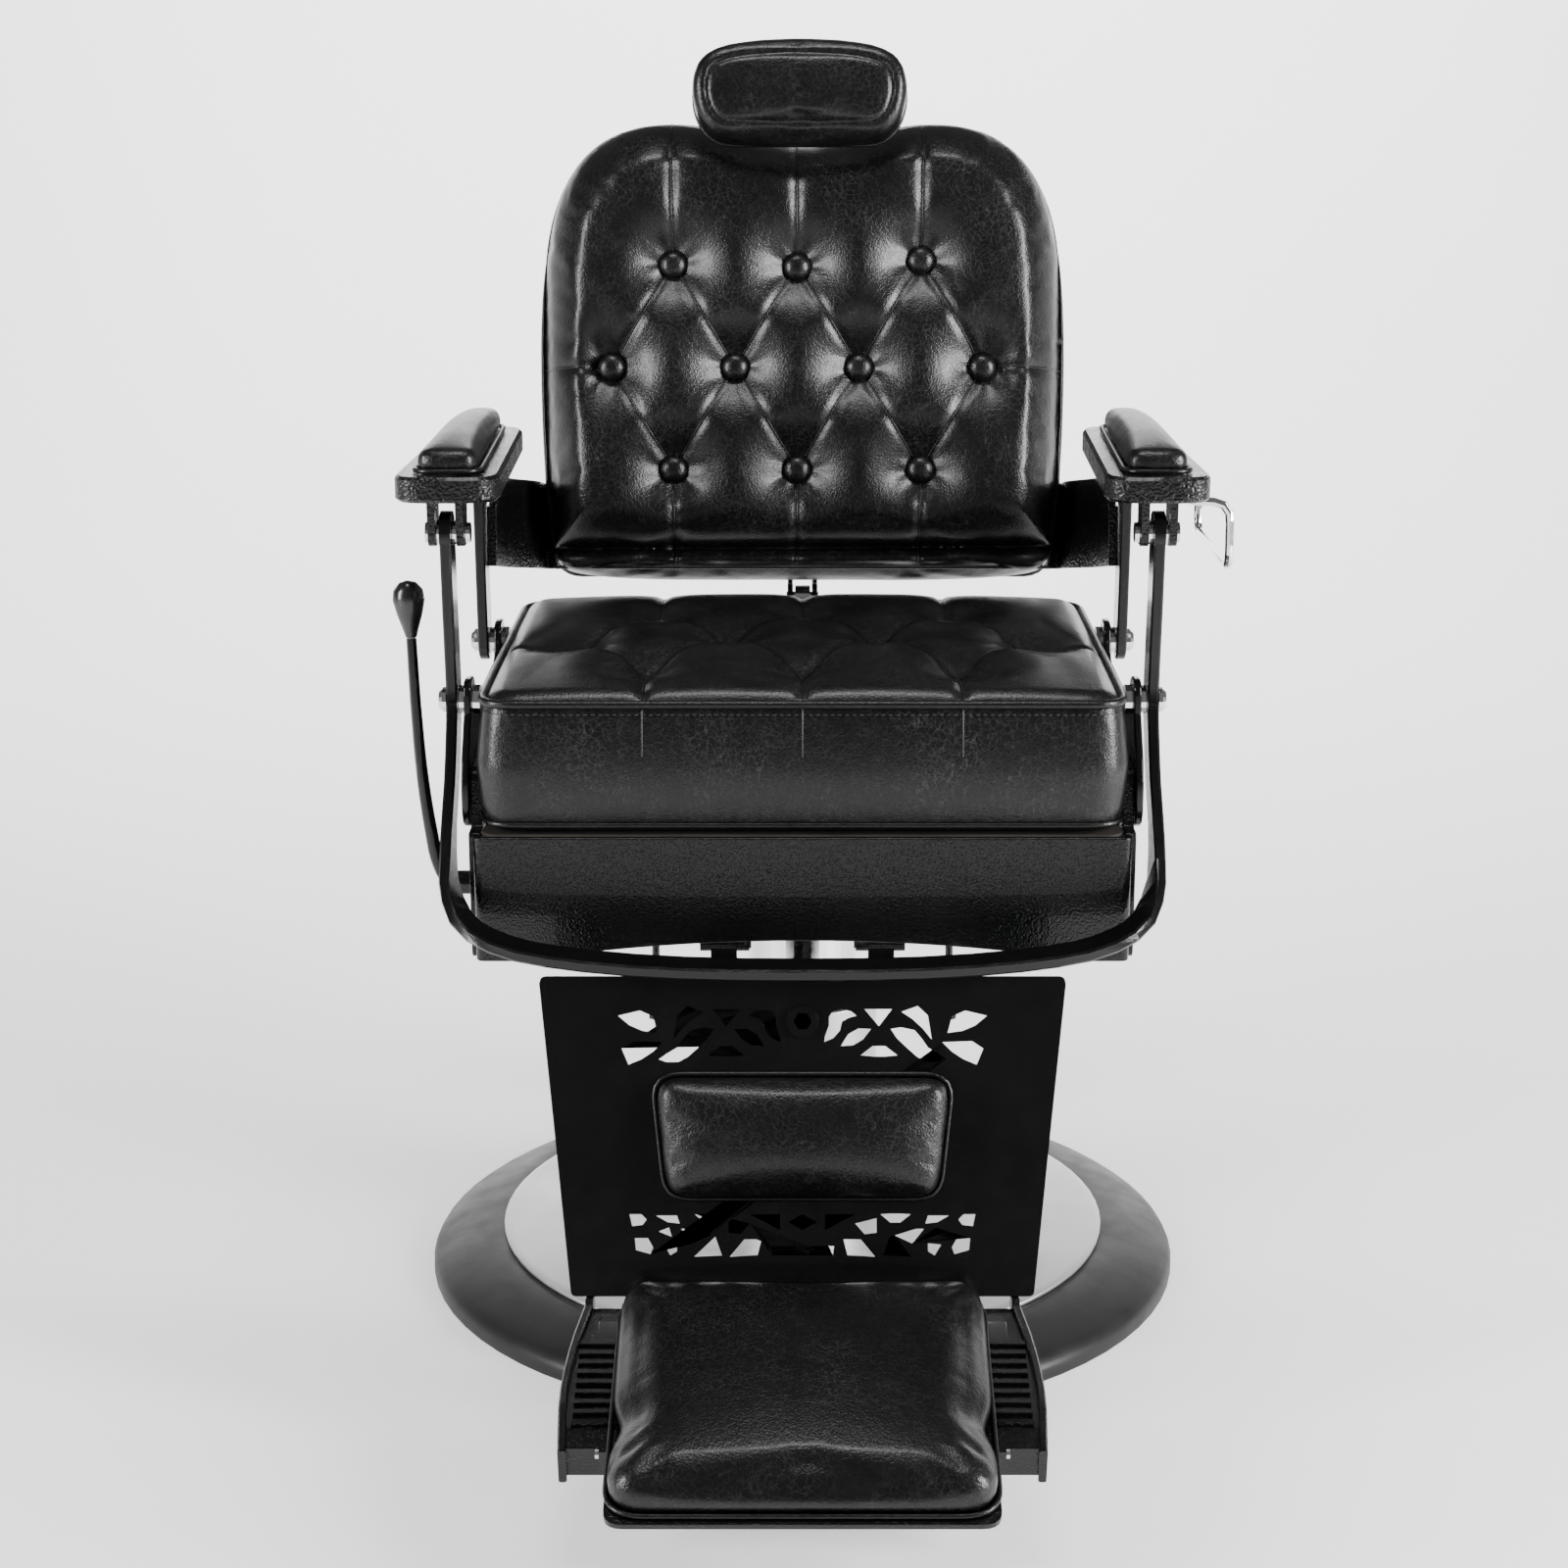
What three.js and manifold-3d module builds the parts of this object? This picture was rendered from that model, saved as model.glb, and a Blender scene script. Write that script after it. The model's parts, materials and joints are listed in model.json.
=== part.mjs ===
// Hydraulic barber chair, built as separate pieces that move on real joints.
// Millimetres, +Z up. Origin: centre of the base, on the floor. The sitter faces -Y,
// so +X is the sitter's left. Every piece is drawn in its place with all joints at rest.
import * as THREE from "three";
import { mergeVertices } from "three/addons/utils/BufferGeometryUtils.js";
import Module from "manifold-3d";

const wasm = await Module();
wasm.setup();

// ---------------------------------------------------------------- driving dimensions
const GAP = 0.3;                    // air between pieces that touch
const ROUND = 40;                   // sides of a large round piece
const FINE = 16;                    // sides of a small round piece
const deg = Math.PI / 180;

const BASE = { radius: 330, lip: 270, plate: 254, height: 34 };
const PUMP = { bore: 47.6, body: 56, flange: 95, top: 240 };
const PISTON = { radius: 47, bottom: 60, top: 318 };
const COVER = { inner: 60.5, outer: 65, bottom: 25, top: 245 };
const PEDAL = { y: 74, z: 102, end: 304 };

const SEAT = { half: 252, front: -246, back: 163, bottom: 456, top: 566 };
const FRAME = { half: 257, front: -250, back: 156, bottom: 354, top: 455 };
const SPIDER = { bottom: 362, top: 374 };
const EAR = { inner: 262, outer: 268 };

// Pivots as [y, z]. Back bar, arm and hoop make a parallelogram on the seat.
const REAR_PIVOT = [58, 548];
const FRONT_PIVOT = [-172, 548];
const ARM_RISE = [-10, 136];
const ARM_REAR = [REAR_PIVOT[0] + ARM_RISE[0], REAR_PIVOT[1] + ARM_RISE[1]];
const ARM_FRONT = [FRONT_PIVOT[0] + ARM_RISE[0], FRONT_PIVOT[1] + ARM_RISE[1]];

const BAR = { inner: 273, outer: 282, bore: 6.3 };      // pivoted flat bars
const ARM = { inner: 231, outer: 313, front: -238, back: 60, bottom: 715, top: 735 };
const BACK = { y: 168, z: 588, tilt: 11 * deg, half: 235, height: 406, depth: 85 };
const SHELL = { depth: 12 };
const PANEL = { y: -326, z: 367.9, tilt: 16 * deg, top: 200, bottom: 175, length: 242, sheet: 4 };
const TREAD = { y: -397, z: 128, tilt: 13 * deg, length: 148, half: 174 };
const FLIP = { y: -168, z: 3 };     // flip axis of the foot pad, in the tread's plane
const LEVER = [-135, 385];
const LOCK_LOW = [112, 222];
const LOCK_HIGH = [262, 548];

// ---------------------------------------------------------------- materials
function finish(color, roughness, metalness) {
  return new THREE.MeshStandardMaterial({ color, roughness, metalness });
}
const PAINT = () => finish(0x17181a, 0.32, 0.3);
const SATIN = () => finish(0x3c3d40, 0.5, 0.4);
const CHROME = () => finish(0xd7d9dc, 0.12, 1);
const BRUSHED = () => finish(0xb4b6ba, 0.35, 1);
const LEATHER = () => finish(0x141415, 0.45, 0);
const PLY = () => finish(0x9a7a52, 0.8, 0);
const RUBBER = () => finish(0x1d1d1e, 0.85, 0);

// ---------------------------------------------------------------- solids
function solid(geometry) {
  const bare = geometry.clone();
  bare.deleteAttribute("normal");
  bare.deleteAttribute("uv");
  const merged = mergeVertices(bare, 1e-3);
  const points = merged.attributes.position.array;
  const faces = [];
  let volume = 0;
  const corner = (i) => new THREE.Vector3(points[3 * i], points[3 * i + 1], points[3 * i + 2]);
  for (let i = 0; i < merged.index.count; i += 3) {
    const [a, b, c] = [0, 1, 2].map((k) => merged.index.getX(i + k));
    if (a === b || b === c || c === a) continue;
    faces.push([a, b, c]);
    volume += corner(a).dot(corner(b).cross(corner(c)));
  }
  const outward = volume < 0 ? faces.map(([a, b, c]) => [a, c, b]) : faces;
  return new wasm.Manifold(new wasm.Mesh({
    numProp: 3,
    vertProperties: points,
    triVerts: new Uint32Array(outward.flat()),
  }));
}

function join(...geometries) {
  return geometries.map(asSolid).reduce((a, b) => a.add(b));
}

function cut(body, ...tools) {
  return tools.map(asSolid).reduce((a, b) => a.subtract(b), asSolid(body));
}

function asSolid(item) {
  return item.isBufferGeometry ? solid(item) : item;
}

function piece(name, body, material) {
  const { vertProperties, triVerts } = asSolid(body).getMesh();
  const geometry = new THREE.BufferGeometry();
  geometry.setAttribute("position", new THREE.BufferAttribute(vertProperties, 3));
  geometry.setIndex(new THREE.BufferAttribute(triVerts, 1));
  geometry.computeVertexNormals();
  const mesh = new THREE.Mesh(geometry, material);
  mesh.name = name;
  return mesh;
}

// ---------------------------------------------------------------- drawing helpers
const X = new THREE.Vector3(1, 0, 0);
const Y = new THREE.Vector3(0, 1, 0);
const Z = new THREE.Vector3(0, 0, 1);

function box(x0, x1, y0, y1, z0, z1) {
  const geometry = new THREE.BoxGeometry(Math.abs(x1 - x0), y1 - y0, z1 - z0);
  return geometry.translate((x0 + x1) / 2, (y0 + y1) / 2, (z0 + z1) / 2);
}

// Corners [a, b, radius] in order; a radius is cut back where an edge is too short for it.
function outline(corners) {
  const shape = new THREE.Shape();
  const points = corners.map(([a, b]) => new THREE.Vector2(a, b));
  const loop = THREE.ShapeUtils.isClockWise(points) ? [...corners].reverse() : corners;
  loop.forEach(([a, b, radius = 0], i) => {
    const here = new THREE.Vector2(a, b);
    const before = new THREE.Vector2(...loop[(i + loop.length - 1) % loop.length]);
    const after = new THREE.Vector2(...loop[(i + 1) % loop.length]);
    const bend = Math.min(radius, 0.49 * before.distanceTo(here), 0.49 * after.distanceTo(here));
    const start = before.sub(here).setLength(bend).add(here);
    const end = after.sub(here).setLength(bend).add(here);
    if (i === 0) shape.moveTo(start.x, start.y);
    else shape.lineTo(start.x, start.y);
    if (radius > 0) shape.quadraticCurveTo(a, b, end.x, end.y);
  });
  shape.closePath();
  return shape;
}

function extrude(shape, depth, bevel = 0, curveSegments = 6) {
  return new THREE.ExtrudeGeometry(shape, {
    depth: depth - 2 * bevel,
    curveSegments,
    bevelEnabled: bevel > 0,
    bevelSize: bevel,
    bevelOffset: -bevel,
    bevelThickness: bevel,
    bevelSegments: 1,
  }).translate(0, 0, bevel);
}

// An outline drawn in (y, z), pushed along X from x0 to x1.
function alongX(shape, x0, x1, bevel = 0, curveSegments = 6) {
  const turn = new THREE.Matrix4().makeBasis(Y, Z, X);
  const low = Math.min(x0, x1);
  return extrude(shape, Math.abs(x1 - x0), bevel, curveSegments).applyMatrix4(turn).translate(low, 0, 0);
}

function alongZ(shape, z0, z1, bevel = 0, curveSegments = 6) {
  return extrude(shape, z1 - z0, bevel, curveSegments).translate(0, 0, z0);
}

function rodX([y, z], x0, x1, radius, sides = FINE) {
  const rod = new THREE.CylinderGeometry(radius, radius, Math.abs(x1 - x0), sides);
  return rod.rotateZ(Math.PI / 2).translate((x0 + x1) / 2, y, z);
}

function rodZ(x, y, z0, z1, radius, sides = FINE) {
  const rod = new THREE.CylinderGeometry(radius, radius, z1 - z0, sides);
  return rod.rotateX(Math.PI / 2).translate(x, y, (z0 + z1) / 2);
}

function rodBetween(from, to, radius, sides = FINE) {
  const a = new THREE.Vector3(...from);
  const b = new THREE.Vector3(...to);
  const rod = new THREE.CylinderGeometry(radius, radius, a.distanceTo(b), sides);
  const turn = new THREE.Quaternion().setFromUnitVectors(Y, b.clone().sub(a).normalize());
  return rod.applyQuaternion(turn).translate(...a.add(b).divideScalar(2).toArray());
}

// A profile of [radius, height] points turned about the Z axis.
function turned(profile, sides = ROUND) {
  const points = profile.map(([r, z]) => new THREE.Vector2(r, z));
  return new THREE.LatheGeometry(points, sides).rotateX(Math.PI / 2);
}

function ring(profile, sides = ROUND) {
  return turned([...profile, profile[0]], sides);
}

// A turned pin or bolt whose axis is X: steps of [radius, x].
function turnedX([y, z], steps) {
  const points = steps.map(([r, x]) => new THREE.Vector2(r, x));
  return new THREE.LatheGeometry(points, FINE).rotateZ(-Math.PI / 2).translate(0, y, z);
}

// A section (a list of [across, through]) swept along a curve; sizeAt scales it.
function swept(curve, steps, section, acrossAt, sizeAt = () => 1) {
  const positions = [];
  const index = [];
  const count = section.length;
  for (let i = 0; i <= steps; i += 1) {
    const t = i / steps;
    const point = curve.getPoint(t);
    const tangent = curve.getTangent(t);
    const guide = acrossAt(tangent);
    const across = guide.clone().addScaledVector(tangent, -guide.dot(tangent)).normalize();
    const through = new THREE.Vector3().crossVectors(tangent, across);
    for (const [a, b] of section) {
      const spot = point.clone().addScaledVector(across, a * sizeAt(t));
      positions.push(...spot.addScaledVector(through, b * sizeAt(t)).toArray());
    }
  }
  for (let i = 0; i < steps; i += 1) {
    for (let j = 0; j < count; j += 1) {
      const a = i * count + j;
      const b = i * count + ((j + 1) % count);
      index.push(a, b, a + count, b, b + count, a + count);
    }
  }
  const last = steps * count;
  for (let j = 1; j < count - 1; j += 1) {
    index.push(0, j + 1, j, last, last + j, last + j + 1);
  }
  const geometry = new THREE.BufferGeometry();
  geometry.setAttribute("position", new THREE.Float32BufferAttribute(positions, 3));
  geometry.setIndex(index);
  return geometry;
}

function flatSection(width, thickness, edge = 1.6) {
  const [w, t] = [width / 2, thickness / 2];
  return [[w - edge, t], [w, t - edge], [w, edge - t], [w - edge, -t],
    [edge - w, -t], [-w, edge - t], [-w, t - edge], [edge - w, t]];
}

function roundSection(radius, sides = 10) {
  const angles = Array.from({ length: sides }, (_, i) => (2 * Math.PI * i) / sides);
  return angles.map((a) => [radius * Math.cos(a), radius * Math.sin(a)]);
}

function spline(points) {
  return new THREE.CatmullRomCurve3(points.map((p) => new THREE.Vector3(...p)), false, "centripetal");
}

function link([ya, za], [yb, zb], radiusA, radiusB) {
  const angle = Math.atan2(zb - za, yb - ya);
  const shape = new THREE.Shape();
  shape.absarc(yb, zb, radiusB, angle - Math.PI / 2, angle + Math.PI / 2, false);
  shape.absarc(ya, za, radiusA, angle + Math.PI / 2, angle + 1.5 * Math.PI, false);
  shape.closePath();
  return shape;
}

const mirrored = (geometry) => geometry.clone().scale(-1, 1, 1);
const SIDES = [[1, "left"], [-1, "right"]];

// ---------------------------------------------------------------- leaning planes
// A leaning piece is drawn flat (x right, y up the slope, z out of its face) and laid over.
function laid(geometry, plane, lean) {
  return geometry.clone().rotateX(lean).translate(0, plane.y, plane.z);
}
const onPanel = (geometry) => laid(geometry, PANEL, Math.PI / 2 - PANEL.tilt);
const onTread = (geometry) => laid(geometry, TREAD, TREAD.tilt);
const onBack = (geometry) => laid(geometry, BACK, Math.PI / 2 - BACK.tilt);

function backPoint(up, out) {
  const [c, s] = [Math.cos(BACK.tilt), Math.sin(BACK.tilt)];
  return [BACK.y + up * s - out * c, BACK.z + up * c + out * s];
}

// ---------------------------------------------------------------- base
function basePlate() {
  return turned([[0, 0], [BASE.plate, 0], [BASE.plate, 10], [0, 10]], 72);
}

function baseRing() {
  const inner = BASE.plate + 1;
  return ring([[inner, 0], [BASE.radius, 0], [BASE.radius, 9], [327, 14.5], [320, 19.5],
    [308, 24.5], [292, 29.5], [280, 32], [BASE.lip, 33], [inner, 33]], 72);
}

function baseCover() {
  const rim = BASE.lip - 3;
  return ring([[67, 48], [rim, 33.4], [rim, 36.4], [rim - 6, 38.2], [67, 53]], 72);
}

function pumpCylinder() {
  return ring([[PUMP.bore, 40], [PUMP.bore, PUMP.top], [PUMP.body, PUMP.top], [PUMP.body, 24],
    [PUMP.flange, 24], [PUMP.flange, 10.3], [20, 10.3], [20, 40]]);
}

function columnCover() {
  const { inner, outer, bottom, top } = COVER;
  return ring([[inner, bottom], [inner, top], [outer - 1, top], [outer, top - 1], [outer, bottom]]);
}

function columnCap() {
  const z = COVER.top + GAP;
  return ring([[47.9, z], [66.5, z], [66.5, z + 5], [63, z + 8], [47.9, z + 8]]);
}

function pumpBlock() {
  const block = box(-22, 22, COVER.outer + GAP, 116, 57, 84);
  const lugs = SIDES.map(([side]) => box(12 * side, 22 * side, 66, 86, 80, 114));
  const pinHole = rodX([PEDAL.y, PEDAL.z], -30, 30, 4.1);
  return cut(join(block, ...lugs), pinHole, rodZ(0, 98, 64, 90, 6.4));
}

function pumpPlunger() {
  return turned([[0, 72], [6, 72], [6, 92], [2.5, 95], [0, 95]], FINE).translate(0, 98, 0);
}

function pedalPin() {
  return rodX([PEDAL.y, PEDAL.z], -25, 25, 3.8);
}

function footPedal() {
  const arm = outline([[PEDAL.y - 9, 96, 6], [110, 96.3, 10], [262, 122], [PEDAL.end, 122],
    [PEDAL.end, 130], [255, 130, 8], [120, 109, 10], [PEDAL.y - 9, 110, 6]]);
  const plate = box(-30, 30, 258, PEDAL.end, 122, 130);
  return cut(join(alongX(arm, -8, 8), plate), rodX([PEDAL.y, PEDAL.z], -20, 20, 4.2));
}

function pedalRubber() {
  const pad = outline([[-33, 255, 6], [33, 255, 6], [33, 307, 6], [-33, 307, 6]]);
  return alongZ(pad, 130 + GAP, 138, 1.5, 3);
}

function base() {
  return [
    piece("base_plate", basePlate(), SATIN()),
    piece("base_ring", baseRing(), SATIN()),
    piece("base_cover", baseCover(), BRUSHED()),
    piece("pump_cylinder", pumpCylinder(), SATIN()),
    piece("column_cover", columnCover(), BRUSHED()),
    piece("column_cap", columnCap(), SATIN()),
    piece("pump_block", pumpBlock(), PAINT()),
    piece("pump_plunger", pumpPlunger(), CHROME()),
    piece("pedal_pin", pedalPin(), BRUSHED()),
    piece("foot_pedal", footPedal(), PAINT()),
    piece("pedal_rubber", pedalRubber(), RUBBER()),
  ];
}

// ---------------------------------------------------------------- lift and seat frame
function piston() {
  const { radius, bottom, top } = PISTON;
  return turned([[0, bottom], [radius, bottom], [radius, top], [24, top], [24, 340], [0, 340]]);
}

function swivelHub() {
  const z = PISTON.top + GAP;
  const top = SPIDER.bottom - GAP;
  return turned([[0, 341], [24.5, 341], [24.5, z], [56, z], [62, z + 6], [62, top - 10],
    [74, top - 6], [74, top], [0, top]]);
}

function brakeTube() {
  const [y, z] = [57, 271];
  const legs = SIDES.map(([side]) =>
    rodBetween([70 * side, y, z], [92 * side, y, SPIDER.bottom - 1.5], 4.5));
  return join(rodX([y, z], -92, 92, 8), ...legs);
}

function seatSpider() {
  const plate = alongZ(outline([[-110, -100, 20], [110, -100, 20], [110, 120, 20], [-110, 120, 20]]),
    SPIDER.bottom, SPIDER.top);
  const wings = [-80, 40].map((y) => box(-252.2, 252.2, y, y + 40, SPIDER.bottom, SPIDER.top));
  const stays = SIDES.map(([side]) => join(
    rodZ(125 * side, -70, 247, SPIDER.top - 2, 3.2, 12),
    rodZ(125 * side, -70, 244, 255, 7.5, 6)));
  return join(plate, ...wings, ...stays);
}

function frontApron() {
  const { half, front, bottom, top } = FRAME;
  const plan = outline([[-half, -236], [-half, front, 14], [half, front, 14], [half, -236],
    [half - 6, -236], [half - 6, front + 6, 9], [6 - half, front + 6, 9], [6 - half, -236]]);
  const arch = new THREE.Shape();
  arch.moveTo(-225, bottom - 4);
  arch.lineTo(225, bottom - 4);
  arch.lineTo(225, bottom);
  arch.quadraticCurveTo(0, bottom + 34, -225, bottom);
  arch.closePath();
  const tunnel = extrude(arch, 60, 0, 20).rotateX(Math.PI / 2).translate(0, front + 30, 0);
  return cut(alongZ(plan, bottom, top), tunnel);
}

function sideRail(side) {
  const { back, bottom } = FRAME;
  const rail = outline([[-235, bottom - 2, 8], [back, bottom - 2, 8], [back, 455, 6], [88, 455, 4],
    [82, 500, 10], [-210, 500, 10], [-216, 455, 4], [-235, 455, 4]]);
  const body = alongX(rail, 252.6 * side, (EAR.inner - GAP) * side);
  return side < 0 ? cut(body, rodX(LEVER, -300, -200, 10.4)) : asSolid(body);
}

function rearRail() {
  const { back, top } = FRAME;
  return alongZ(outline([[-252.2, back - 6], [252.2, back - 6], [252.2, back], [-252.2, back]]), 380, top);
}

function earPlate(side) {
  const plate = outline([[-222, 452, 26], [92, 452, 26], [92, 500, 8], [76, 540], [76, 566, 16],
    [40, 566, 16], [40, 535, 14], [-154, 535, 14], [-154, 566, 16], [-190, 566, 16], [-190, 540],
    [-222, 500, 14]]);
  const [inner, outer] = [EAR.inner * side, EAR.outer * side];
  const bores = [REAR_PIVOT, FRONT_PIVOT].map((at) => rodX(at, inner - 9 * side, outer + 9 * side, 8.3));
  return cut(alongX(plate, inner, outer, 1, 4), ...bores);
}

// A shoulder bolt: head inside the ear plate, collar as spacer, nut outside the bar.
function pivotBolt(at, side) {
  const bolt = turnedX(at, [[0, 256], [12, 256], [12, EAR.inner - GAP], [8, EAR.inner - GAP],
    [8, EAR.outer + GAP], [11.5, EAR.outer + GAP], [11.5, BAR.inner - GAP], [5.9, BAR.inner - GAP],
    [5.9, BAR.outer + GAP], [10, BAR.outer + GAP], [10, 286], [7, 289], [0, 289.5]]);
  return side > 0 ? bolt : mirrored(bolt);
}

function seatBoard() {
  const { half, front, back } = FRAME;
  const inner = half - 6.4;
  return alongZ(outline([[-inner, front + 6.5, 14], [inner, front + 6.5, 14], [inner, back - 6.5],
    [-inner, back - 6.5]]), 444, 455.5);
}

function seatCushion() {
  const { half, front, back, bottom, top } = SEAT;
  return alongZ(outline([[-half, front, 26], [half, front, 26], [half, back, 30], [-half, back, 30]]),
    bottom, top, 7, 4);
}

function lockBracket() {
  const [y, z] = LOCK_LOW;
  const [top, from, to] = [SPIDER.bottom - GAP, 80, y + 12];
  const cheek = outline([[from, top], [from, 330, 10], [y - 14, z - 10, 8], [y - 6, z - 16, 8],
    [y + 10, z - 14, 8], [y + 14, z + 6, 8], [to + 4, 320, 10], [to + 4, top]]);
  const cheeks = SIDES.map(([side]) => alongX(cheek, 17 * side, 22 * side));
  const web = box(-22, 22, from, to - 20, top - 8, top);
  return cut(join(web, ...cheeks), rodX(LOCK_LOW, -30, 30, 5.2));
}

function lockPin(at) {
  return rodX(at, -25, 25, 4.9);
}

function seat() {
  const pieces = [
    piece("swivel_hub", swivelHub(), SATIN()),
    piece("brake_tube", brakeTube(), PAINT()),
    piece("seat_spider", seatSpider(), PAINT()),
    piece("front_apron", frontApron(), PAINT()),
    piece("rear_rail", rearRail(), PAINT()),
    piece("seat_board", seatBoard(), PLY()),
    piece("seat_cushion", seatCushion(), LEATHER()),
    piece("lock_bracket", lockBracket(), PAINT()),
    piece("lock_pin_lower", lockPin(LOCK_LOW), BRUSHED()),
  ];
  for (const [side, name] of SIDES) {
    pieces.push(piece(`side_rail_${name}`, sideRail(side), PAINT()));
    pieces.push(piece(`ear_plate_${name}`, earPlate(side), PAINT()));
    pieces.push(piece(`rear_pivot_${name}`, pivotBolt(REAR_PIVOT, side), CHROME()));
    pieces.push(piece(`front_pivot_${name}`, pivotBolt(FRONT_PIVOT, side), CHROME()));
  }
  return pieces;
}

// ---------------------------------------------------------------- recline lock
function lockAlong(distance) {
  const direction = new THREE.Vector2(LOCK_HIGH[0] - LOCK_LOW[0], LOCK_HIGH[1] - LOCK_LOW[1]);
  direction.setLength(distance);
  return [0, LOCK_LOW[0] + direction.x, LOCK_LOW[1] + direction.y];
}

function lockBarrel() {
  const eye = rodX(LOCK_LOW, -9, 9, 12);
  const neck = rodBetween(lockAlong(6), lockAlong(24), 8);
  const tube = rodBetween(lockAlong(20), lockAlong(195), 15, 32);
  const bore = rodBetween(lockAlong(26), lockAlong(220), 6.2);
  return cut(join(eye, neck, tube), bore, rodX(LOCK_LOW, -20, 20, 5.2));
}

function lockRod() {
  const reach = Math.hypot(LOCK_HIGH[0] - LOCK_LOW[0], LOCK_HIGH[1] - LOCK_LOW[1]);
  const rod = rodBetween(lockAlong(168), lockAlong(reach - 4), 5.5);
  return join(rod, rodX(LOCK_HIGH, -7, 7, 10), rodX(LOCK_HIGH, -15, 15, 4));
}

// ---------------------------------------------------------------- back
function backBar(side) {
  const bar = link(REAR_PIVOT, ARM_REAR, 17, 15);
  const bores = [REAR_PIVOT, ARM_REAR].map((at) => rodX(at, 260 * side, 295 * side, BAR.bore));
  return cut(alongX(bar, BAR.inner * side, BAR.outer * side, 1.2, 8), ...bores);
}

// The wide band behind the cushion; its ends lie against the back bars.
function backBand() {
  const [x, rear, end] = [BAR.inner - GAP, -(BACK.depth + SHELL.depth + 2 * GAP), 124];
  const strip = 8;
  const bend = [[x, end], [x, 10, 50], [250, -44, 30], [250, rear - strip, 20]];
  const inside = [[242, rear, 10], [242, -40, 30], [x - strip, 14, 50], [x - strip, end]];
  const flip = ([across, out, radius]) => [-across, out, radius];
  const plan = outline([...bend, ...bend.map(flip).reverse(), ...inside.map(flip).reverse(), ...inside]);
  const band = extrude(plan, 80, 0, 8).rotateX(-Math.PI / 2).scale(1, 1, -1).translate(0, 4, 0);
  const notch = box(-275, 275, 20, 74, ARM_REAR[1] - 18, ARM_REAR[1] + 30);
  return cut(join(onBack(band), ...lockLugs()), rodX(ARM_REAR, -295, 295, 12), notch);
}

// Two slotted lugs under the band take the cross pin of the lock rod.
function lockLugs() {
  const [y, z] = LOCK_HIGH;
  const lug = outline([[y - 20, z - 14, 8], [y + 20, z - 14, 8], [y + 22, z + 44], [y + 8, z + 44],
    [y + 6, z + 15, 6], [y - 20, z + 14, 8]]);
  const slot = outline([[y - 11.5, z - 5, 4], [y + 11.5, z - 5, 4], [y + 11.5, z + 7.5, 4],
    [y - 11.5, z + 7.5, 4]]);
  return SIDES.map(([side]) => cut(alongX(lug, 9 * side, 14 * side), alongX(slot, 5 * side, 20 * side)));
}

// Rounded shoulders, two humps and a dip for the headrest: drawn as x right, y up.
function backOutline(inset) {
  const [w, h] = [BACK.half - inset, BACK.height - inset];
  const shape = new THREE.Shape();
  shape.moveTo(30 - w, inset);
  shape.lineTo(w - 30, inset);
  shape.quadraticCurveTo(w - 6, inset, w - 5, inset + 28);
  shape.quadraticCurveTo(w + 3, h * 0.4, w, h * 0.66);
  shape.bezierCurveTo(w - 3, h - 38, w - 50, h, 118, h);
  shape.bezierCurveTo(75, h, 55, h - 18, 0, h - 18);
  shape.bezierCurveTo(-55, h - 18, -75, h, -118, h);
  shape.bezierCurveTo(50 - w, h, 3 - w, h - 38, -w, h * 0.66);
  shape.quadraticCurveTo(-w - 3, h * 0.4, 5 - w, inset + 28);
  shape.quadraticCurveTo(6 - w, inset, 30 - w, inset);
  return shape;
}

function backCushion() {
  return onBack(extrude(backOutline(0), BACK.depth, 6, 6).translate(0, 0, -BACK.depth));
}

function backShell() {
  const depth = BACK.depth + GAP + SHELL.depth;
  return onBack(extrude(backOutline(6), SHELL.depth, 2, 6).translate(0, 0, -depth));
}

function headrestSocket() {
  const rear = -(BACK.depth + SHELL.depth + 2 * GAP);
  const plate = box(-62, 62, 296, 350, rear - 4, rear);
  const tubes = SIDES.map(([side]) => box((45 - 11) * side, (45 + 11) * side, 300, 346, rear - 24, rear - 3));
  const bores = SIDES.map(([side]) => postRod(side, 280, 380, POST.radius + GAP));
  return cut(join(onBack(plate), ...tubes.map(onBack)), ...bores);
}

const POST = { x: 45, out: -110, radius: 6, bottom: 205, top: 428 };

function postRod(side, low, high, radius) {
  const ends = [low, high].map((up) => [POST.x * side, ...backPoint(up, POST.out)]);
  return rodBetween(ends[0], ends[1], radius, 20);
}

function back() {
  const pieces = [
    piece("back_band", backBand(), PAINT()),
    piece("back_cushion", backCushion(), LEATHER()),
    piece("back_shell", backShell(), LEATHER()),
    piece("headrest_socket", headrestSocket(), PAINT()),
    piece("lock_barrel", lockBarrel(), PAINT()),
    piece("lock_rod", lockRod(), CHROME()),
  ];
  for (const [side, name] of SIDES) {
    pieces.push(piece(`back_bar_${name}`, backBar(side), PAINT()));
  }
  return pieces;
}

// ---------------------------------------------------------------- headrest
const NOD = { up: 424, out: -12 };  // tilt axis of the headrest pad, on the back's plane

function headrestPost() {
  const posts = SIDES.map(([side]) => postRod(side, POST.bottom, POST.top, POST.radius));
  const bar = onBack(box(-53, 53, POST.top - 4, POST.top + 8, POST.out - 7, POST.out + 7));
  const arm = onBack(box(-12, 12, NOD.up - 5, NOD.up + 9, POST.out + 5, NOD.out - 3));
  const knuckle = rodX(backPoint(NOD.up, NOD.out), -14, 14, 9);
  const bore = rodX(backPoint(NOD.up, NOD.out), -20, 20, 4.3);
  return cut(join(...posts, bar, arm, knuckle), bore);
}

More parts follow.
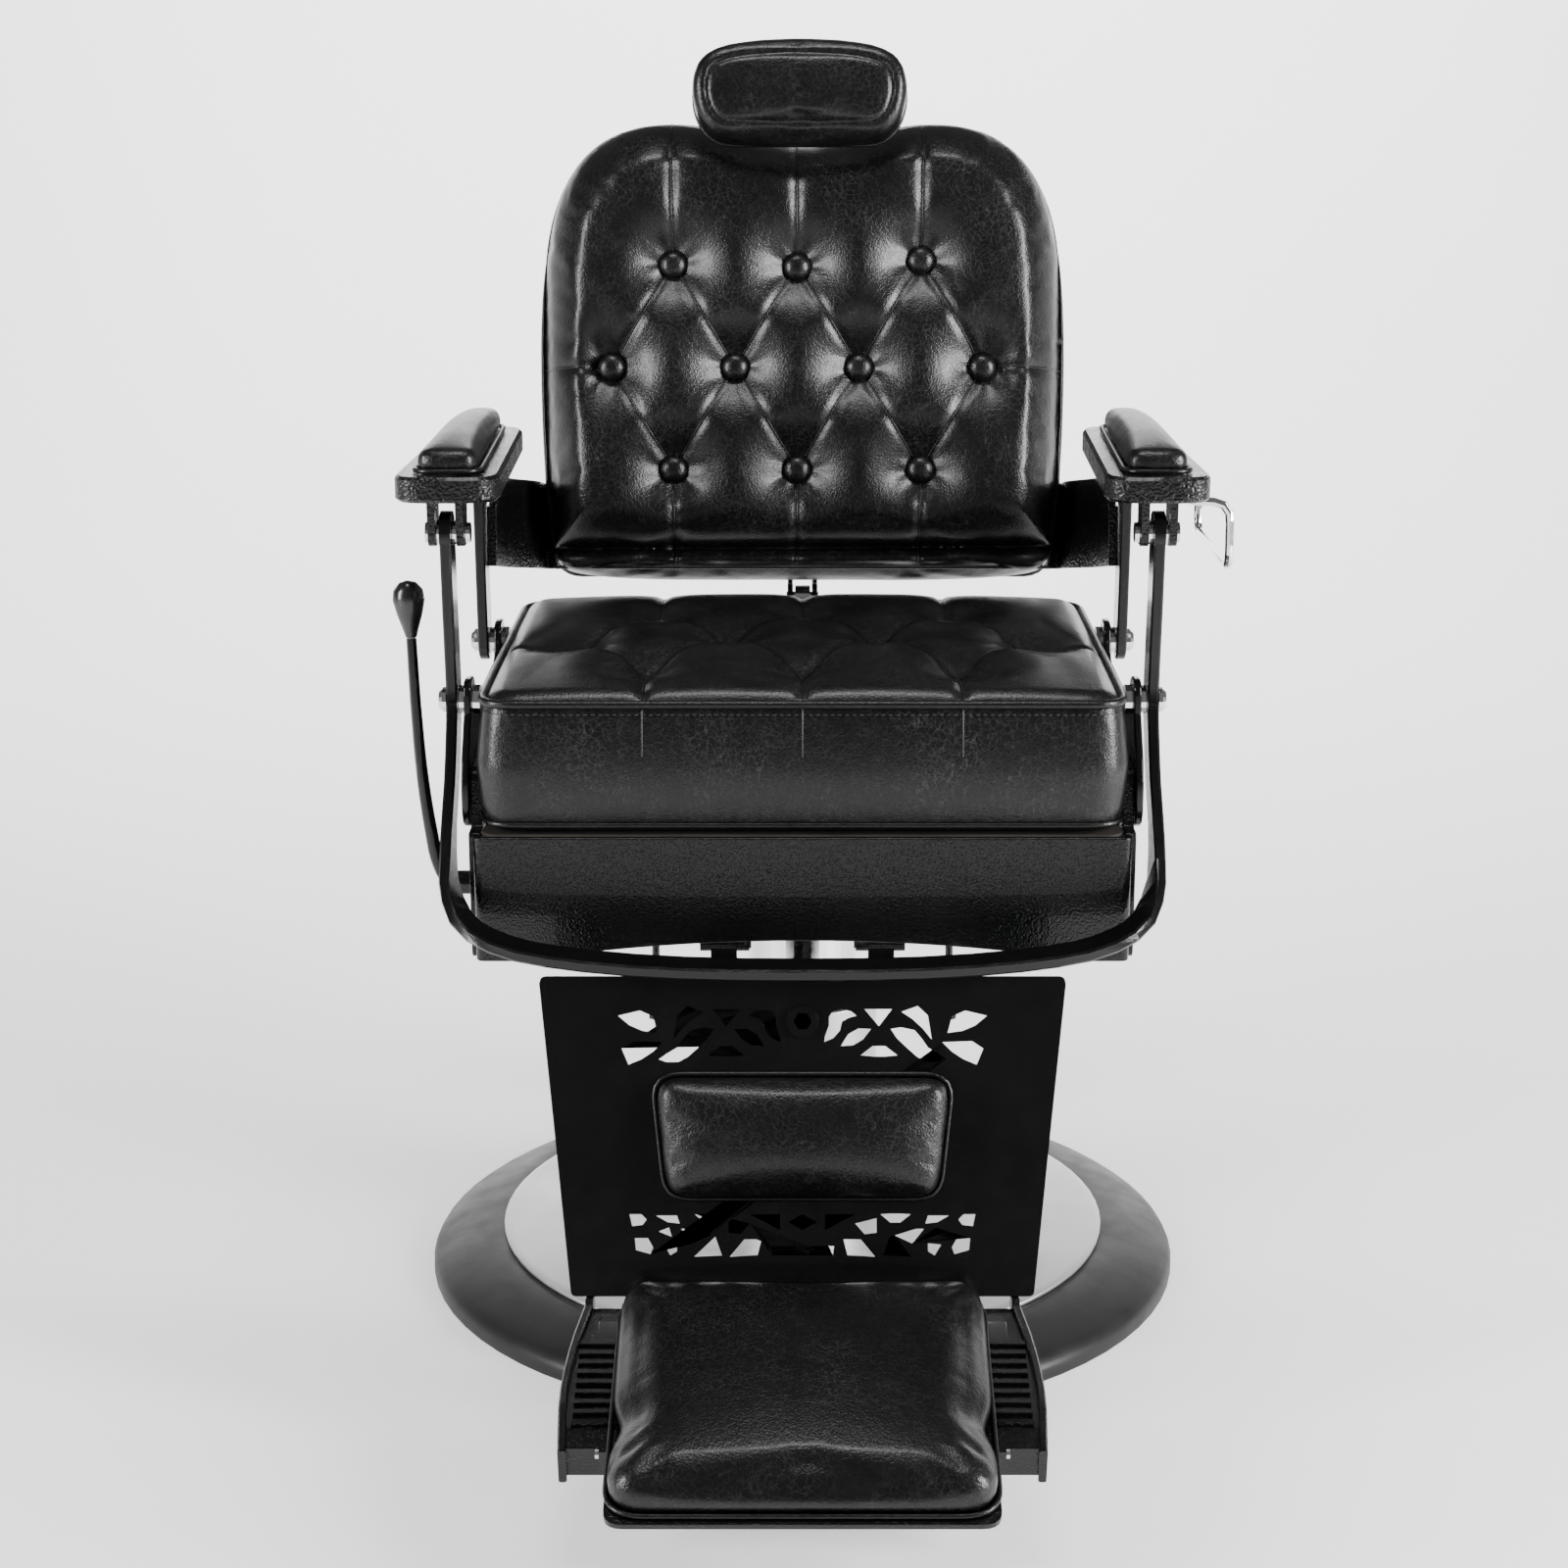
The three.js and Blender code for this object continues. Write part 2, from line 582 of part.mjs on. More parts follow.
function headrestPlate() {
  const plate = box(-42, 42, NOD.up - 22, NOD.up + 22, -2, 1.7);
  const lugs = SIDES.map(([side]) => box(14.3 * side, 19 * side, NOD.up - 10, NOD.up + 10, NOD.out - 8, 0));
  const pin = rodX(backPoint(NOD.up, NOD.out), -22, 22, 4);
  return join(onBack(plate), ...lugs.map(onBack), pin);
}

function headrestPad() {
  const shape = new THREE.Shape();
  shape.moveTo(-78, 95);
  shape.lineTo(78, 95);
  shape.bezierCurveTo(96, 94, 105, 73, 102, 51);
  shape.bezierCurveTo(98, 17, 72, 0, 0, 0);
  shape.bezierCurveTo(-72, 0, -98, 17, -102, 51);
  shape.bezierCurveTo(-105, 73, -96, 94, -78, 95);
  return onBack(extrude(shape, 62, 5, 6).translate(0, NOD.up - 47, 2));
}

function headrest() {
  return [
    piece("headrest_post", headrestPost(), CHROME()),
    piece("headrest_plate", headrestPlate(), PAINT()),
    piece("headrest_pad", headrestPad(), LEATHER()),
  ];
}

// ---------------------------------------------------------------- arms
function armOutline(inset) {
  const [inner, outer] = [ARM.inner + inset, ARM.outer - inset];
  return outline([[inner, ARM.front + inset, 26], [outer, ARM.front + inset, 26],
    [outer - 4, -60], [outer - 12, ARM.back - inset, 22], [inner + 8, ARM.back - inset, 22]]);
}

// The arm's board with its cast ears, two at each pivot.
function armBoard(side) {
  const ear = ([y, z]) => outline([[y - 13, z - 10, 8], [y + 13, z - 10, 8], [y + 16, ARM.bottom + 2],
    [y - 16, ARM.bottom + 2]]);
  const ears = [ARM_FRONT, ARM_REAR].flatMap((at) =>
    [[263, 269], [285, 291]].map(([x0, x1]) => alongX(ear(at), x0, x1)));
  const bores = [ARM_FRONT, ARM_REAR].map((at) => rodX(at, 250, 300, 6));
  const board = alongZ(armOutline(0), ARM.bottom, ARM.top, 2.5, 4);
  const whole = [board, ...ears, ...bores].map((g) => (side > 0 ? g : mirrored(g)));
  return cut(join(...whole.slice(0, 5)), ...whole.slice(5));
}

function armPad(side) {
  const pad = alongZ(armOutline(15), ARM.top + GAP, ARM.top + 19, 5, 6);
  return side > 0 ? pad : mirrored(pad);
}

// An arm pin with a collar each side of the bar it holds.
function armPin(at, side) {
  const pin = turnedX(at, [[0, 259], [8, 259], [8, 262.7], [5.7, 262.7], [5.7, 269.3], [9.5, 269.3],
    [9.5, 272.6], [5.7, 272.6], [5.7, 282.4], [9.5, 282.4], [9.5, 284.7], [5.7, 284.7], [5.7, 291.3],
    [8, 291.3], [8, 294], [0, 294.5]]);
  return side > 0 ? pin : mirrored(pin);
}

function towelBar() {
  const [x, top, low, front, rear] = [338, 704, 650, -150, 34];
  const corners = [[296, front, 712], [302, front, top], [x, front, top - 2], [x + 1, front + 2, low],
    [x + 1, rear, low], [x, rear, top - 2], [302, rear, top], [296, rear, 712]];
  const path = new THREE.CurvePath();
  const points = corners.map((p) => new THREE.Vector3(...p));
  let from = points[0];
  for (let i = 1; i < points.length; i += 1) {
    const here = points[i];
    const next = points[i + 1];
    const bend = next ? Math.min(14, here.distanceTo(from) * 0.6, here.distanceTo(next) * 0.5) : 0;
    const enter = here.clone().add(from.clone().sub(here).setLength(bend || 1e-6));
    path.add(new THREE.LineCurve3(from, next ? enter : here));
    if (!next) break;
    const leave = here.clone().add(next.clone().sub(here).setLength(bend));
    path.add(new THREE.QuadraticBezierCurve3(enter, here, leave));
    from = leave;
  }
  const wire = new THREE.Shape().absarc(0, 0, 3.6, 0, 2 * Math.PI);
  return new THREE.ExtrudeGeometry(wire, { steps: 44, extrudePath: path, curveSegments: 4 });
}

function arms() {
  const pieces = [];
  for (const [side, name] of SIDES) {
    pieces.push(piece(`arm_board_${name}`, armBoard(side), PAINT()));
    pieces.push(piece(`arm_pad_${name}`, armPad(side), LEATHER()));
    pieces.push(piece(`arm_pin_front_${name}`, armPin(ARM_FRONT, side), CHROME()));
    pieces.push(piece(`arm_pin_rear_${name}`, armPin(ARM_REAR, side), CHROME()));
  }
  pieces.push(piece("towel_bar", towelBar(), CHROME()));
  return pieces;
}

// ---------------------------------------------------------------- leg rest
function frontHoop() {
  const right = [[BAR.inner + 4.5, ...ARM_FRONT], [277.5, -177, 616], [277.5, ...FRONT_PIVOT],
    [278.5, -190, 492], [279, -222, 444], [274, -254, 414], [258, -285, 395], [226, -306, 384.5],
    [176, -319, 379], [100, -327.5, 375.2]];
  const path = [...right, [0, -330, 374], ...right.map(([x, y, z]) => [-x, y, z]).reverse()];
  const bar = swept(spline(path), 44, flatSection(32, 9), () => Y);
  const bosses = SIDES.flatMap(([side]) => [ARM_FRONT, FRONT_PIVOT].map((at) =>
    rodX(at, BAR.inner * side, BAR.outer * side, 17)));
  const bores = SIDES.flatMap(([side]) => [ARM_FRONT, FRONT_PIVOT].map((at) =>
    join(rodX(at, 262 * side, 292 * side, BAR.bore), rodX(at, 262 * side, BAR.inner * side, 13),
      rodX(at, BAR.outer * side, 292 * side, 13))));
  return cut(join(bar, ...bosses), ...bores);
}

// Openings of the panel's fretwork for x > 0, as [x, distance down the panel].
// A petal is two tips joined by two curves: tip, bend, tip, bend.
const PETALS = [
  [[140, 30], [110, 18], [110, 43], [128, 43]],
  [[106, 50], [150, 44], [132, 67], [116, 62]],
  [[98, 48], [97, 12], [75, 27], [88, 34]],
  [[72, 60], [58, 44], [44, 60], [58, 62]],
  [[52, 40], [36, 36], [29, 53], [44, 55]],
  [[82, 180], [70, 194], [59, 180], [70, 179]],
];
const CURLS = [
  [[109, 63], [95, 54], [85, 41], [67, 40], [80, 55], [94, 65]],
  [[41, 30], [32, 25], [21, 28], [20, 38], [16, 50], [27, 44], [31, 33]],
];
const FACETS = [
  [[68, 25], [47, 25], [58, 38]],
  [[131, 180], [122, 180], [118, 184], [121, 188], [129, 189]],
  [[111, 181], [95, 181], [93, 187], [102, 186]],
  [[109, 193], [101, 190], [99, 197]],
  [[92, 191], [86, 191], [70, 196], [83, 202]],
  [[127, 198], [117, 198], [113, 205], [115, 210], [126, 207]],
  [[105, 203], [95, 202], [95, 208], [100, 211]],
  [[82, 212], [66, 197], [61, 211]],
  [[55, 212], [44, 199], [31, 199], [34, 211]],
  [[56, 183], [40, 187], [47, 195], [56, 194]],
  [[40, 180], [17, 180], [17, 192]],
  [[24, 204], [7, 204], [5, 211], [23, 211]],
];

function fretwork() {
  const holes = [];
  for (const [side] of SIDES) {
    const at = ([x, down]) => new THREE.Vector2(x * side, -down);
    for (const [tip, bend, end, other] of PETALS.map((petal) => petal.map(at))) {
      const hole = new THREE.Shape().moveTo(tip.x, tip.y);
      hole.quadraticCurveTo(bend.x, bend.y, end.x, end.y);
      hole.quadraticCurveTo(other.x, other.y, tip.x, tip.y);
      holes.push(hole);
    }
    for (const curl of CURLS) {
      const points = curl.map(([x, down]) => new THREE.Vector3(x * side, -down, 0));
      const loop = new THREE.CatmullRomCurve3(points, true).getPoints(12).slice(0, -1);
      holes.push(new THREE.Shape(loop.map(({ x, y }) => new THREE.Vector2(x, y))));
    }
    holes.push(...FACETS.map((facet) => new THREE.Shape(facet.map(at))));
  }
  holes.push(new THREE.Shape().absarc(0, -34, 7, 0, 2 * Math.PI));
  holes.push(outline([[11, -186], [0, -180], [-11, -186], [0, -192]]));
  return holes.map((hole) => extrude(hole, 30, 0, 3).translate(0, 0, -10));
}

function legPanel() {
  const { top, bottom, length, sheet } = PANEL;
  const face = outline([[-top, 0, 6], [top, 0, 6], [bottom, -length, 4], [-bottom, -length, 4]]);
  const boss = rodZ(0, -34, 3, sheet + 3.5, 12);
  const flanges = SIDES.map(([side]) => {
    const strip = outline([[(top - 4) * side, -4], [top * side, -5], [bottom * side, -length + 2],
      [(bottom - 4) * side, -length + 2]]);
    return extrude(strip, 17).translate(0, 0, -14);
  });
  const tabs = SIDES.map(([side]) => join(
    box(50 * side, 70 * side, -334, -308, 346, 354),
    box(50 * side, 70 * side, -312.6, -308, 346, 384),
  ));
  const plates = [extrude(face, sheet), boss, ...flanges];
  return cut(join(...plates.map(onPanel), ...tabs), ...fretwork().map(onPanel));
}

function calfPad() {
  const shape = outline([[-114, -74, 14], [114, -74, 14], [104, -168, 12], [-104, -168, 12]]);
  return onPanel(extrude(shape, 22, 5, 5).translate(0, 0, PANEL.sheet + GAP));
}

// ---------------------------------------------------------------- footrest
function treadRail(side) {
  const path = [[161, -1, -9], [169, -50, -9], [173, -105, -9.5], [170, -166, -11]];
  const curve = spline(path.map(([x, y, z]) => [x * side, y, z]));
  return swept(curve, 8, flatSection(29, 6, 1.2), () => Z);
}

// The cast tread: a ribbed deck between curved rails, with cheeks that hold the panel.
function footrestFrame() {
  const end = -TREAD.length;
  const deck = outline([[-160, -2], [160, -2], [168, -50], [171, -105], [168, end], [140, end],
    [138, end - 6], [-138, end - 6], [-140, end], [-168, end], [-171, -105], [-168, -50]]);
  const ribs = Array.from({ length: 9 }, (_, i) => {
    const y = -46 - 11 * i;
    return alongX(outline([[y - 3.4, -1], [y + 3.4, -1], [y + 2, 3.6], [y - 2, 3.6]]), -165, 165);
  });
  const corners = SIDES.flatMap(([side]) => [
    treadRail(side),
    box(137 * side, 168 * side, end - 14, end + 6, -22, 2),
    box(137 * side, 143 * side, end - 28, end - 10, -8, 11),
  ]);
  const low = PANEL.length;
  const cheeks = SIDES.flatMap(([side]) => [
    box(158 * side, 164 * side, -low - 20, 40 - low, -13, -0.4),
    box(158 * side, 164 * side, -low - 20, -low - 1, -13, 8),
  ]);
  const frame = join(extrude(deck, 6).translate(0, 0, -6), ...ribs, ...corners);
  const bore = rodX([FLIP.y, FLIP.z], -160, 160, 4);
  const windows = SIDES.map(([side]) => box(138 * side, 153 * side, -38, -10, -10, 10));
  return join(laidTread(cut(frame, bore, ...windows)), ...cheeks.map(onPanel));
}

function laidTread(body) {
  return solid(onTread(piece("tread", body, PAINT()).geometry));
}

function flipPin() {
  return onTread(rodX([FLIP.y, FLIP.z], -146, 146, 3.6));
}

function footTray() {
  const plate = outline([[-136, -3, 14], [136, -3, 14], [136, -250, 14], [-136, -250, 14]]);
  const ears = SIDES.map(([side]) => box(128 * side, 134 * side, FLIP.y - 7, FLIP.y + 7, -3, 10));
  const tray = join(extrude(plate, 4, 0, 5).translate(0, 0, 8), ...ears);
  return laidTread(cut(tray, rodX([FLIP.y, FLIP.z], -150, 150, 4)));
}

function footPad() {
  const right = [[139, -6, 18], [139, -128, 14], [130, -150, 10], [130, -186, 10], [136, -208, 12],
    [136, -246, 18]];
  const left = right.map(([x, y, radius]) => [-x, y, radius]).reverse();
  return onTread(extrude(outline([...right, ...left]), 34, 8, 5).translate(0, 0, 12 + GAP));
}

function legRest() {
  return [
    piece("front_hoop", frontHoop(), PAINT()),
    piece("leg_panel", legPanel(), PAINT()),
    piece("calf_pad", calfPad(), LEATHER()),
    piece("footrest_frame", footrestFrame(), PAINT()),
    piece("footrest_pin", flipPin(), BRUSHED()),
    piece("foot_tray", footTray(), PAINT()),
    piece("foot_pad", footPad(), LEATHER()),
  ];
}

// ---------------------------------------------------------------- recline lever
const KNOB_FOOT = [-313.5, -145, 592];
const KNOB_TIP = [-315, -146, 638];

function handLever() {
  const path = [[-276, ...LEVER], [-291, -136, 388], [-299, -138, 404], [-304, -139, 432],
    [-309, -141, 478], [-312, -143, 534], KNOB_FOOT];
  const stem = swept(spline(path), 20, roundSection(6.5), () => Y, (t) => 1 - 0.35 * t);
  const shaft = rodX(LEVER, -284, -232, 10);
  const crank = alongX(link(LEVER, [LEVER[0] + 46, LEVER[1] + 6], 15, 8), -243, -236);
  return join(stem, shaft, crank);
}

function leverKnob() {
  const foot = new THREE.Vector3(...KNOB_FOOT);
  const direction = new THREE.Vector3(...KNOB_TIP).sub(foot).normalize();
  const profile = [[0, 0.4], [4.5, 0.4], [6, 6], [10.5, 20], [13, 31], [12, 39], [7, 45], [0, 47]];
  const knob = turned(profile, FINE);
  return knob.applyQuaternion(new THREE.Quaternion().setFromUnitVectors(Z, direction))
    .translate(...foot.addScaledVector(direction, GAP).toArray());
}

function lever() {
  return [
    piece("hand_lever", handLever(), PAINT()),
    piece("lever_knob", leverKnob(), RUBBER()),
  ];
}

// ---------------------------------------------------------------- whole chair
const chair = new THREE.Group();
chair.name = "barber_chair";
chair.add(...base(), piece("piston", piston(), CHROME()), ...seat(), ...back(), ...headrest(),
  ...arms(), ...legRest(), ...lever());
export default chair;
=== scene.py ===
"""Looks of the hydraulic barber chair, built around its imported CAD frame. Metres, +Z up."""

import json
import math

import bmesh
import bpy
import numpy as np
from mathutils import Matrix, Vector
from mathutils.bvhtree import BVHTree


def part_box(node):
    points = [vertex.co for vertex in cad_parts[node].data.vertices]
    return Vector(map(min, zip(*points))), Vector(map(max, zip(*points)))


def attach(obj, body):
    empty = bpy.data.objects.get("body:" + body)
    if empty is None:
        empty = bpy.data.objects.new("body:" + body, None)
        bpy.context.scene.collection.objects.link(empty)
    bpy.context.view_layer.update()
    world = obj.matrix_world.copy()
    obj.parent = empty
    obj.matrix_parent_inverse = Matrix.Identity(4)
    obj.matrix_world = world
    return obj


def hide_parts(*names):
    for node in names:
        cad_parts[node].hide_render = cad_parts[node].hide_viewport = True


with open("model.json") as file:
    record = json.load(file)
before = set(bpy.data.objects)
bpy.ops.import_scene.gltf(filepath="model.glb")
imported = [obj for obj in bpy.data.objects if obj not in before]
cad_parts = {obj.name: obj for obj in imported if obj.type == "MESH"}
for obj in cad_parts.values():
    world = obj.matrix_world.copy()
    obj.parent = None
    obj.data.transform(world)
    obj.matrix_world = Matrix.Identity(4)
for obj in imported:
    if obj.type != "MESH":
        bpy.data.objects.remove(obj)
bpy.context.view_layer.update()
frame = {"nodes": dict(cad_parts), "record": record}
scene = bpy.context.scene

# ---------------------------------------------------------------- sizes
SAME_POINT = 2e-5                            # CAD points nearer than this are one
FLAT_ANGLE = math.radians(0.6)               # facets that meet flatter than this are one
SHARP_ANGLE = math.radians(38)               # edges sharper than this are rounded
LOOP_SPACING = 0.006                         # between the points of a pad's outline
CORNER_POINTS = 8                            # along a round corner, before even spacing
CURVE_POINTS = 16                            # along a Bezier stretch, before even spacing
CUSHION_VOXEL = 0.0045                       # remesh size of the seat and the back
CLOTH_FRAMES = 20
CREASE_DEPTH, CREASE_WIDTH = 0.0022, 0.0045  # of the sharp line in a fold
FOLD_SHADE_BEAD = 0.0008                           # radius of the dark bead laid in a fold, painted shade of the crease
FOLD_POINTS = 40                             # along each of those lines
ABOVE_SEAT, ABOVE_BACK, RAY_LENGTH = 0.7, 0.08, 0.4   # rays that find the surface for it
BACK_FOOT = Vector((0, 0.168, 0.588))        # lower front edge of the back cushion
BACK_TILT = math.radians(11)
PANEL_TOP = Vector((0, -0.326, 0.3679))      # upper edge of the leg panel
PANEL_TILT = math.radians(16)
TREAD_REAR = Vector((0, -0.397, 0.128))      # rear edge of the footrest deck
TREAD_TILT = math.radians(13)
FLIP_PIN = -0.168                            # the flip tray's pin, along the tread from its rear
BUTTON_FOOT = 0.0095                         # a button's seat over the bottom of its dimple
THREE_IN_ROW, FOUR_IN_ROW = (-1, 0, 1), (-1.5, -0.5, 0.5, 1.5)   # tufts, in steps from the middle


def leaning(origin, angle):
    """Places a flat drawing (x right, y up the slope, z out of its face) on a leaning plane."""
    return Matrix.Translation(origin) @ Matrix.Rotation(angle, 4, "X")


ON_BACK = leaning(BACK_FOOT, math.pi / 2 - BACK_TILT)
ON_PANEL = leaning(PANEL_TOP, math.pi / 2 - PANEL_TILT)
ON_TREAD = leaning(TREAD_REAR, TREAD_TILT)
FLAT = Matrix.Identity(4)


# ---------------------------------------------------------------- shader helpers
class Shader:
    """A material whose nodes are added one call at a time."""

    def __init__(self, name, **values):
        self.material = bpy.data.materials.new(name)
        self.material.use_nodes = True
        self.tree = self.material.node_tree
        self.surface = self.tree.nodes["Principled BSDF"]
        for socket, value in values.items():
            self.surface.inputs[socket.replace("_", " ")].default_value = value
        self.place = self.add("ShaderNodeTexCoord").outputs["Object"]

    def add(self, kind, **settings):
        """A new node of this kind with its settings."""
        node = self.tree.nodes.new(kind)
        for key, value in settings.items():
            setattr(node, key, value)
        return node

    def feed(self, socket, value):
        """Links a socket to another node's output, or sets its value."""
        if isinstance(value, bpy.types.NodeSocket):
            self.tree.links.new(value, socket)
        else:
            socket.default_value = value

    def noise(self, scale, detail=4, rough=0.55, place=None, distortion=0.0):
        node = self.add("ShaderNodeTexNoise")
        self.feed(node.inputs["Vector"], place or self.place)
        self.feed(node.inputs["Scale"], scale)
        self.feed(node.inputs["Detail"], detail)
        self.feed(node.inputs["Roughness"], rough)
        self.feed(node.inputs["Distortion"], distortion)
        return node.outputs["Fac"]

    def cells(self, scale, feature="F1", place=None):
        """Voronoi distance."""
        node = self.add("ShaderNodeTexVoronoi", feature=feature)
        self.feed(node.inputs["Vector"], place or self.place)
        self.feed(node.inputs["Scale"], scale)
        return node.outputs["Distance"]

    def math(self, operation, a, b=0.0, clamp=False):
        node = self.add("ShaderNodeMath", operation=operation, use_clamp=clamp)
        self.feed(node.inputs[0], a)
        self.feed(node.inputs[1], b)
        return node.outputs[0]

    def span(self, value, low, high, to_low=0.0, to_high=1.0):
        """A value's range low to high carried to another range, and clamped."""
        node = self.add("ShaderNodeMapRange")
        for key, item in zip(("Value", "From Min", "From Max", "To Min", "To Max"),
                             (value, low, high, to_low, to_high)):
            self.feed(node.inputs[key], item)
        return node.outputs[0]

    def colours(self, value, *stops):
        """A ramp through (position, grey) or (position, (r, g, b)) stops."""
        node = self.add("ShaderNodeValToRGB")
        ramp = node.color_ramp
        while len(ramp.elements) < len(stops):
            ramp.elements.new(0.5)
        for element, (position, colour) in zip(ramp.elements, stops):
            element.position = position
            element.color = (*colour, 1) if isinstance(colour, tuple) else (colour, colour, colour, 1)
        self.feed(node.inputs["Fac"], value)
        return node.outputs["Color"]

    def warp(self, scale, amount):
        """The surface place pushed about by a noise."""
        node = self.add("ShaderNodeTexNoise")
        self.feed(node.inputs["Vector"], self.place)
        self.feed(node.inputs["Scale"], scale)
        self.feed(node.inputs["Detail"], 3)
        push = self.add("ShaderNodeVectorMath", operation="MULTIPLY_ADD")
        self.feed(push.inputs[0], node.outputs["Color"])
        self.feed(push.inputs[1], (amount, amount, amount))
        self.feed(push.inputs[2], self.place)
        return push.outputs[0]

    def stretch(self, x, y, z):
        """The surface place scaled along each axis."""
        node = self.add("ShaderNodeVectorMath", operation="MULTIPLY")
        self.feed(node.inputs[0], self.place)
        self.feed(node.inputs[1], (x, y, z))
        return node.outputs[0]

    def bump(self, *layers):
        """Layers of (height, strength, distance in metres), stacked."""
        normal = None
        for height, strength, distance in layers:
            node = self.add("ShaderNodeBump")
            self.feed(node.inputs["Height"], height)
            self.feed(node.inputs["Strength"], strength)
            self.feed(node.inputs["Distance"], distance)
            if normal is not None:
                self.feed(node.inputs["Normal"], normal)
            normal = node.outputs["Normal"]
        self.feed(self.surface.inputs["Normal"], normal)

    def paint(self, colour, roughness=None):
        self.feed(self.surface.inputs["Base Color"], colour)
        if roughness is not None:
            self.feed(self.surface.inputs["Roughness"], roughness)
        return self.material


# ---------------------------------------------------------------- materials
def leather(name, veins=1.0):
    """Black leather: fine pebble grain under a network of thin pale creases and cloudy wear."""
    s = Shader(name, Specular_IOR_Level=0.30, Coat_Weight=0.12, Coat_Roughness=0.2)
    fine = s.span(s.cells(170, "DISTANCE_TO_EDGE", s.warp(60, 0.02)), 0.0, 0.07, 1.0, 0.0)
    hair = s.span(s.noise(130, 9, 0.78, s.stretch(1, 1, 0.45), 3.0), 0.53, 0.68)
    cloud = s.span(s.noise(17, 8, 0.7, distortion=0.8), 0.36, 0.66)
    worn = s.math("MULTIPLY", s.math("ADD", s.math("MULTIPLY", fine, 0.6), hair), cloud)
    pale = s.math("MULTIPLY", worn, 0.6 * veins, clamp=True)
    colour = s.colours(pale, (0.0, 0.0022), (0.45, 0.024), (1.0, 0.09))
    dulled = s.math("ADD", s.math("MULTIPLY", worn, 0.3), s.noise(60, 6, 0.7))
    roughness = s.span(dulled, 0.3, 0.95, 0.27, 0.42)
    s.bump((s.cells(560), 0.26, 0.0007), (s.noise(1300, 3), 0.16, 0.0003),
           (s.math("SUBTRACT", 1.0, fine), 0.16, 0.0005))
    return s.paint(colour, roughness)


def hammered(name, scale, depth, rough=0.16):
    """Glossy black enamel with a fine hammered skin: scale sets its grain, depth its relief."""
    s = Shader(name, Specular_IOR_Level=0.28, Coat_Weight=0.14, Coat_Roughness=0.05)
    lumps = s.cells(scale, "SMOOTH_F1", s.warp(200, 0.003))
    height = s.math("ADD", lumps, s.math("MULTIPLY", s.noise(scale * 0.7, 3, 0.5), 0.8))
    s.bump((height, depth, 0.0009))
    colour = s.colours(s.noise(22, 4), (0.3, 0.002), (0.75, 0.0036))
    return s.paint(colour, s.span(s.noise(70, 3), 0.3, 0.7, rough, rough + 0.1))


def satin_enamel(name):
    """Half-dull black enamel with a slight orange peel."""
    s = Shader(name, Specular_IOR_Level=0.3)
    s.bump((s.noise(420, 3, 0.6), 0.12, 0.0006), (s.noise(14, 3), 0.08, 0.002))
    colour = s.colours(s.noise(9, 6, 0.6), (0.3, 0.008), (0.7, 0.0108))
    return s.paint(colour, s.span(s.noise(36, 5), 0.3, 0.7, 0.36, 0.5))


def turned_steel(name, upright):
    """Brushed steel: fine rings round the Z axis on a disc, or round a tube."""
    s = Shader(name, Metallic=1.0)
    if upright:
        lines = s.noise(1, 5, 0.7, s.stretch(3, 3, 1400))
    else:
        flat = s.add("ShaderNodeVectorMath", operation="LENGTH")
        s.feed(flat.inputs[0], s.stretch(1, 1, 0))
        lines = s.noise(1400, 5, 0.7, flat.outputs["Value"])
    s.bump((lines, 0.1, 0.0003))
    colour = s.colours(lines, (0.25, 0.52), (0.8, 0.7))
    return s.paint(colour, s.span(s.noise(14, 4), 0.3, 0.7, 0.36, 0.48))


def chrome(name, base=0.78, rough=0.05):
    """Plated steel with faint smudges."""
    s = Shader(name, Metallic=1.0)
    smudge = s.noise(30, 6, 0.7)
    s.bump((s.noise(5, 2), 0.05, 0.002), (s.noise(900, 2), 0.02, 0.0002))
    return s.paint(s.colours(smudge, (0.3, base), (0.8, base * 1.1)),
                   s.span(smudge, 0.4, 0.8, rough, rough + 0.12))


def rubber(name):
    """Ribbed rubber, ribs across the tread."""
    s = Shader(name, Specular_IOR_Level=0.35)
    ribs = s.add("ShaderNodeTexWave", wave_type="BANDS", bands_direction="Y")
    s.feed(ribs.inputs["Vector"], s.place)
    s.feed(ribs.inputs["Scale"], 42)
    s.bump((ribs.outputs["Fac"], 0.7, 0.002), (s.noise(700, 3), 0.2, 0.0004))
    colour = s.colours(s.noise(60, 5), (0.3, 0.012), (0.7, 0.026))
    return s.paint(colour, s.span(s.noise(90, 3), 0.3, 0.7, 0.6, 0.8))


def moulded(name):
    """Glossy moulded plastic."""
    s = Shader(name, Specular_IOR_Level=0.5, Coat_Weight=0.2, Coat_Roughness=0.1)
    s.bump((s.noise(600, 3), 0.06, 0.0003), (s.noise(40, 2), 0.08, 0.001))
    colour = s.colours(s.noise(50, 4), (0.3, 0.006), (0.7, 0.013))
    return s.paint(colour, s.span(s.noise(80, 4), 0.3, 0.7, 0.2, 0.34))


def plywood(name):
    """Black-stained board whose grain and layers still show."""
    s = Shader(name)
    grain = s.noise(26, 8, 0.65, s.stretch(0.35, 3.2, 1), 0.8)
    layers = s.noise(1, 2, 0.5, s.stretch(1, 1, 700))
    tone = s.math("ADD", s.math("MULTIPLY", grain, 0.7), s.math("MULTIPLY", layers, 0.3))
    s.bump((grain, 0.2, 0.0006))
    colour = s.colours(tone, (0.3, (0.012, 0.010, 0.008)), (0.7, (0.035, 0.030, 0.024)))
    return s.paint(colour, s.span(grain, 0.3, 0.7, 0.55, 0.75))


